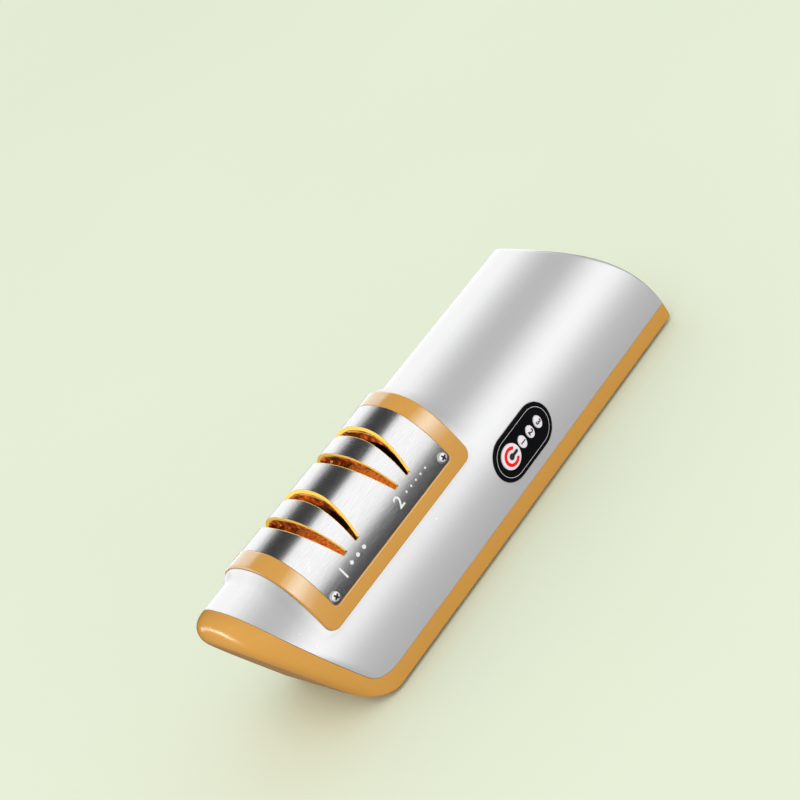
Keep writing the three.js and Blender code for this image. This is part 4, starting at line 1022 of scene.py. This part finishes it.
def make_power_sign():
    """A broken ring with a round-ended bar in its opening."""
    radius, width = POWER_SIZE * POWER_RING_SHARE, POWER_SIZE * POWER_RING_WIDTH_SHARE
    gap = math.radians(POWER_RING_OPENING)
    outer, inner = [], []
    for k in range(OVAL_STEPS + 1):
        a = gap + (2 * math.pi - 2 * gap) * k / OVAL_STEPS
        for side, points in ((1, outer), (-1, inner)):
            r = radius + side * width / 2
            points.append((POWER_PLACE + r * math.cos(a), r * math.sin(a)))
    flat_print("power_ring", [outer + inner[::-1]], "red_print")
    blob = oval(POWER_SIZE * POWER_BLOB_SHARE, POWER_SIZE * POWER_BLOB_SHARE, POWER_PLACE)
    sides = [POWER_SIZE * share for share in POWER_BAR_SHARES]
    bar = [(POWER_PLACE + u, v) for u, v in rounded_rectangle(*sides, POWER_SIZE * POWER_BAR_ROUND_SHARE)]
    flat_print("power_bar", [blob, bar], "dark_print")


def figure_mesh(text, size, boldness):
    """A plain figure as a flat mesh, centred on its own middle."""
    curve = bpy.data.curves.new("figure", "FONT")
    curve.body = text
    curve.size = size
    curve.offset = boldness
    holder = new_object("figure", curve)
    graph = bpy.context.evaluated_depsgraph_get()
    mesh = bpy.data.meshes.new_from_object(holder.evaluated_get(graph))
    bpy.data.objects.remove(holder)
    low = [min(v.co[k] for v in mesh.vertices) for k in range(2)]
    high = [max(v.co[k] for v in mesh.vertices) for k in range(2)]
    mesh.transform(Matrix.Translation((-(low[0] + high[0]) / 2, -(low[1] + high[1]) / 2, 0)))
    return mesh


def make_key_figures():
    for k, (_, body, x, _, _) in enumerate(keys()[1:]):
        mesh = figure_mesh(str(k + 1), KEY_FIGURE_SIZE, KEY_FIGURE_BOLD)
        figure = new_object("figure", mesh)
        lift = Matrix.Translation((x, 0, PANEL_PROUD + BUTTON_TOP + PRINT_THICKNESS / 2))
        mesh.transform(button_matrix() @ lift @ Matrix.Rotation(-math.pi / 2, 4, "Z"))
        settle(figure, f"key_figure_{k + 1}", body, "button_plastic", finish="dark_print")


def wrap_on_plate(mesh, x):
    """Bends a flat drawing (X along the body, Y up the flank) over the sheet's front flank."""
    work = bmesh.new()
    work.from_mesh(mesh)
    lows = min(v.co.y for v in work.verts)
    highs = max(v.co.y for v in work.verts)
    for k in range(1, FIGURE_CUTS):
        level = lows + (highs - lows) * k / FIGURE_CUTS
        whole = work.verts[:] + work.edges[:] + work.faces[:]
        bmesh.ops.bisect_plane(work, geom=whole, plane_co=(0, level, 0), plane_no=(0, 1, 0))
    out = PLATE_TOP + PLATE_FIGURE_LIFT
    angle = arch_angle(PLATE_FIGURE_HEIGHT, out)
    table = [(0.0, angle)]
    for direction in (1, -1):
        run, a = 0.0, angle
        last = Vector(arch_point(a, out))
        while run < highs + 1:
            a += direction * FIGURE_TURN
            here = Vector(arch_point(a, out))
            run += (here - last).length
            last = here
            table.append((direction * run, a))
    table.sort()
    for vert in work.verts:
        place = min(range(len(table)), key=lambda i: abs(table[i][0] - vert.co.y))
        y, z = arch_point(table[place][1], out)
        vert.co = (x + vert.co.x, y, z)
    work.to_mesh(mesh)
    work.free()


# Name, figure, place along the body, number of dots and their diameter
PLATE_ROWS = (("coarse", "1", -64.0, 3, 1.5), ("fine", "2", -32.0, 5, 0.8))


def make_plate_figures():
    for name, text, x, dots, dot in PLATE_ROWS:
        mesh = figure_mesh(text, PLATE_FIGURE_SIZE, PLATE_FIGURE_BOLD)
        figure = new_object("figure", mesh)
        wrap_on_plate(mesh, x)
        settle(figure, f"{name}_figure", "housing", "steel_sheet", finish="silver_print")
        for k in range(dots):
            disc = bpy.data.meshes.new("dot")
            rim = [(u, v, 0) for u, v in oval(dot, dot, 0, DOT_STEPS)]
            disc.from_pydata(rim, [], [tuple(range(DOT_STEPS))])
            spot = new_object("dot", disc)
            wrap_on_plate(disc, x + DOTS_FROM_FIGURE + k * (dot + DOT_BETWEEN))
            settle(spot, f"{name}_dot_{k + 1}", "housing", "steel_sheet", finish="silver_print")


# Feet and hidden sides


def make_feet():
    for i in range(4):
        x, y, _ = box_places(f"rubber_foot_{i + 1}")
        shape = [(0, FOOT_RECESS - 0.1), (0, -FOOT_PROUD + FOOT_ROUND),
                 (FOOT_ROUND * 0.3, -FOOT_PROUD + FOOT_ROUND * 0.3), (FOOT_ROUND, -FOOT_PROUD)]
        rings = []
        for back, z in shape:
            size = 2 * (FOOT_RADIUS - back)
            rings.append([(x + u, y + v, z) for u, v in oval(size, size, 0)])
        settle(skin("foot", rings, capped=True), f"foot_{i + 1}", "housing", "rubber",
               [f"rubber_foot_{i + 1}"], sharp=50)


CAD_FINISHES = {
    "steel_turned": ["drive_shaft", "near_sleeve", "middle_sleeve", "far_sleeve", "motor_shaft",
                     "motor_can", "base_screw_1", "base_screw_2", "base_screw_3", "base_screw_4",
                     "tact_switch_1", "tact_switch_2", "tact_switch_3", "tact_switch_4", "charge_port"],
    "bronze": ["near_bearing", "far_bearing", "shaft_coupling"],
    "black_plastic": ["coarse_wheel_hub", "fine_wheel_hub", "wheel_chamber", "motor_end_cap",
                      "power_cradle"],
    "circuit_board": ["control_board", "charge_board"],
    "cell_wrap": ["battery_cell"],
}


def dress_cad():
    for finish, names in CAD_FINISHES.items():
        for name in names:
            mesh = frame["nodes"][name].data
            mesh.materials.clear()
            mesh.materials.append(FINISHES[finish])


# Stage, lights and camera

FLOOR_HALF = 6.0
FLOOR_LIT = (0.74, 0.74, 0.74, 1)
FLOOR_TONES = [(0.3, (0.735, 0.797, 0.63)), (0.7, (0.755, 0.817, 0.645))]
WORLD_LIT = (1, 1, 1, 1)
WORLD_SEEN = (0.83, 0.9, 0.72, 1)
WORLD_STRENGTH = 0.9

# Strips seen in each piece's gloss: angle from, angle to, radiance. Angles turn round the body's long
# axis from +Y, with 90 above it
STRIP_DISTANCE = 1.2
STRIP_LENGTH = 5.0
STRIP_AXIS_HEIGHT = 0.03
SHELL_BANDS = ((-25, 62, 1.7), (62, 86, 1.4), (86, 105, 0.93), (105, 121, 0.5), (121, 134, 0.2),
               (170, 178, 0.7), (178, 186, 1.5), (186, 202, 2.4), (202, 206, 0.8))
STEEL_BANDS = ((-20, 38, 1.15), (38, 101, 0.04), (101, 168, 1.1), (168, 215, 0.03))
SCREW_BANDS = ((158, 200, 0.8),)
FRAME_BANDS = ((-20, 42, 2.3), (124, 134, 1.4), (134, 142, 3.2), (142, 152, 4.6), (152, 159, 3.2),
               (159, 168, 1.2))
FRAME_TINT = (0.75, 1.06, 1.2)
# The pale floor as the gold base mirrors it, along its lower edges
BASE_BANDS = ((300, 335, 0.1),)

# Where the cap's rounded edge mirrors the camera: the glint's lamps follow this line of directions
GLINT_CENTRE = (-0.104, -0.005, 0.06)
GLINT_PATH = ((-0.35, 0.92, 0.0), (-0.5, 0.72, 0.47), (-0.67, 0.45, 0.59), (-0.81, 0.11, 0.58),
              (-0.92, -0.13, 0.38), (-0.94, -0.3, 0.16), (-0.94, -0.28, -0.16), (-0.85, -0.2, -0.45))
GLINT_RADIANCES = (2.6, 4.4, 7.0, 8.0, 5.0, 1.6, 0.3)
GLINT_WIDTH = 0.2

# Soft lamps that don't show in gloss: place, target, size, watts and the pieces that they reach
SOFT_LAMPS = {
    "front_fill": ((0.3, -2.6, 0.7), (0, 0, 0.02), (2.0, 1.2), 12,
                   ("shell", "collar", "base", "frame", "bezel", "key_", "power_", "panel_line")),
    "near_fill": ((-2.6, -0.5, 0.25), (-0.1, 0, 0.03), (1.2, 0.5), 18, ("base",)),
    "wheel_fill": ((-0.6, -0.7, 0.6), (-0.04, 0, 0.04), (0.4, 0.4), 12,
                   ("coarse_grit", "fine_grit", "guide", "core")),
}


def seen_colour(tree, lit):
    """A mix of the colour that lights the object (lit, input 6) and the one seen directly, in gloss and
    through glass (input 7)."""
    path = tree.nodes.new("ShaderNodeLightPath")
    rays = path.outputs["Is Camera Ray"]
    for kind in ("Is Glossy Ray", "Is Transmission Ray"):
        either = tree.nodes.new("ShaderNodeMath")
        either.operation = "MAXIMUM"
        link(tree, rays, either.inputs[0])
        link(tree, path.outputs[kind], either.inputs[1])
        rays = either.outputs[0]
    seen = tree.nodes.new("ShaderNodeMix")
    seen.data_type = "RGBA"
    seen.inputs[6].default_value = lit
    link(tree, rays, seen.inputs["Factor"])
    return seen


def make_stage():
    """A plain floor, pale green to the camera and a neutral grey in the light that it throws back."""
    mesh = bpy.data.meshes.new("floor")
    corners = [(x * FLOOR_HALF, y * FLOOR_HALF, 0) for x, y in ((-1, -1), (1, -1), (1, 1), (-1, 1))]
    mesh.from_pydata(corners, [], [(0, 1, 2, 3)])
    floor = new_object("floor", mesh)
    finish, tree, shader = nodes_of("floor")
    cloud = object_noise(tree, 3, 3)
    tones = ramp(tree, cloud, FLOOR_TONES)
    seen = seen_colour(tree, FLOOR_LIT)
    link(tree, tones, seen.inputs[7])
    link(tree, seen.outputs[2], shader.inputs["Base Color"])
    shader.inputs["Roughness"].default_value = 1.0
    shader.inputs["Specular IOR Level"].default_value = 0.0
    mesh.materials.append(finish)
    floor.visible_glossy = False


def make_world():
    world = bpy.data.worlds.new("studio")
    bpy.context.scene.world = world
    world.use_nodes = True
    tree = world.node_tree
    background = tree.nodes["Background"]
    seen = seen_colour(tree, WORLD_LIT)
    seen.inputs[7].default_value = WORLD_SEEN
    link(tree, seen.outputs[2], background.inputs["Color"])
    background.inputs["Strength"].default_value = WORLD_STRENGTH
    world.cycles_visibility.glossy = False


def lamp(name, place, target, size, power, receivers=(), diffuse=True, glossy=True, along=(1, 0, 0)):
    """A rectangular lamp that faces its target, with its long side along a direction.

    With receivers, it reaches only the pieces whose names start with one of them.
    """
    data = bpy.data.lights.new(name, "AREA")
    data.shape = "RECTANGLE"
    data.size, data.size_y = size
    data.energy = power
    holder = bpy.data.objects.new(name, data)
    bpy.context.scene.collection.objects.link(holder)
    holder.location = place
    back = (Vector(place) - Vector(target)).normalized()
    up = back.cross(Vector(along)).normalized()
    across = up.cross(back)
    holder.rotation_euler = Matrix((across, up, back)).transposed().to_euler()
    holder.visible_diffuse = diffuse
    holder.visible_glossy = glossy
    holder.visible_camera = False
    if receivers:
        reached = bpy.data.collections.new(name + "_receivers")
        for obj in list(bpy.data.objects):
            if obj.type == "MESH" and obj.name.startswith(tuple(receivers)):
                reached.objects.link(obj)
        holder.light_linking.receiver_collection = reached
    return holder


def bands(name, rows, receivers, tint=(1, 1, 1)):
    """Long strips along the body that show only in gloss, each between two angles."""
    for k, (start, end, radiance) in enumerate(rows):
        turn = math.radians((start + end) / 2)
        width = 2 * STRIP_DISTANCE * math.tan(math.radians((end - start) / 2))
        place = (0, STRIP_DISTANCE * math.cos(turn), STRIP_AXIS_HEIGHT + STRIP_DISTANCE * math.sin(turn))
        strip = lamp(f"{name}_{k + 1}", place, (0, 0, STRIP_AXIS_HEIGHT), (STRIP_LENGTH, width),
                     radiance * math.pi * width * STRIP_LENGTH, receivers, diffuse=False)
        strip.data.color = tint


def make_glint():
    """The curved highlight on the cap's rounded edge."""
    cap = Vector(GLINT_CENTRE)
    for k, (start, end, radiance) in enumerate(zip(GLINT_PATH, GLINT_PATH[1:], GLINT_RADIANCES)):
        start, end = Vector(start), Vector(end)
        run = (end - start).length
        lamp(f"cap_glint_{k + 1}", cap + (start + end) / 2, cap, (run, GLINT_WIDTH),
             radiance * math.pi * run * GLINT_WIDTH, ("base",), diffuse=False, along=end - start)


def make_lights():
    make_world()
    lamp("overhead", (-0.9, -0.9, 3.0), (0, 0, 0), (1.8, 1.8), 22, glossy=False)
    bands("shell_band", SHELL_BANDS, ("shell", "collar"))
    bands("steel_band", STEEL_BANDS, ("plate", "pan_screw", "fine_", "coarse_", "guide"))
    bands("frame_band", FRAME_BANDS, ("frame",), FRAME_TINT)
    bands("screw_band", SCREW_BANDS, ("pan_screw",))
    make_glint()
    bands("base_band", BASE_BANDS, ("base",))
    for name, row in SOFT_LAMPS.items():
        lamp(name, *row, glossy=False)
    bpy.data.lights["wheel_fill"].use_shadow = False


def make_camera():
    data = bpy.data.cameras.new("camera")
    data.lens = CAMERA_LENS
    data.sensor_width = 36.0
    data.clip_start = 0.01
    holder = bpy.data.objects.new("camera", data)
    bpy.context.scene.collection.objects.link(holder)
    axes = Matrix((CAMERA_RIGHT, CAMERA_UP, CAMERA_BACK)).transposed().to_4x4()
    place = (Vector(CAMERA_PLACE) + Vector(SHIFT)) * MM
    holder.matrix_world = Matrix.Translation(place) @ axes
    bpy.context.scene.camera = holder


make_camera()
make_shell()
make_collar()
make_base()
make_frame()
make_plate()
make_guide()
make_pan_screws()
make_wheels()
make_bezel()
make_buttons()
make_power_sign()
make_key_figures()
make_plate_figures()
make_feet()
dress_cad()
make_stage()
make_lights()
bpy.context.scene.view_settings.view_transform = "Standard"
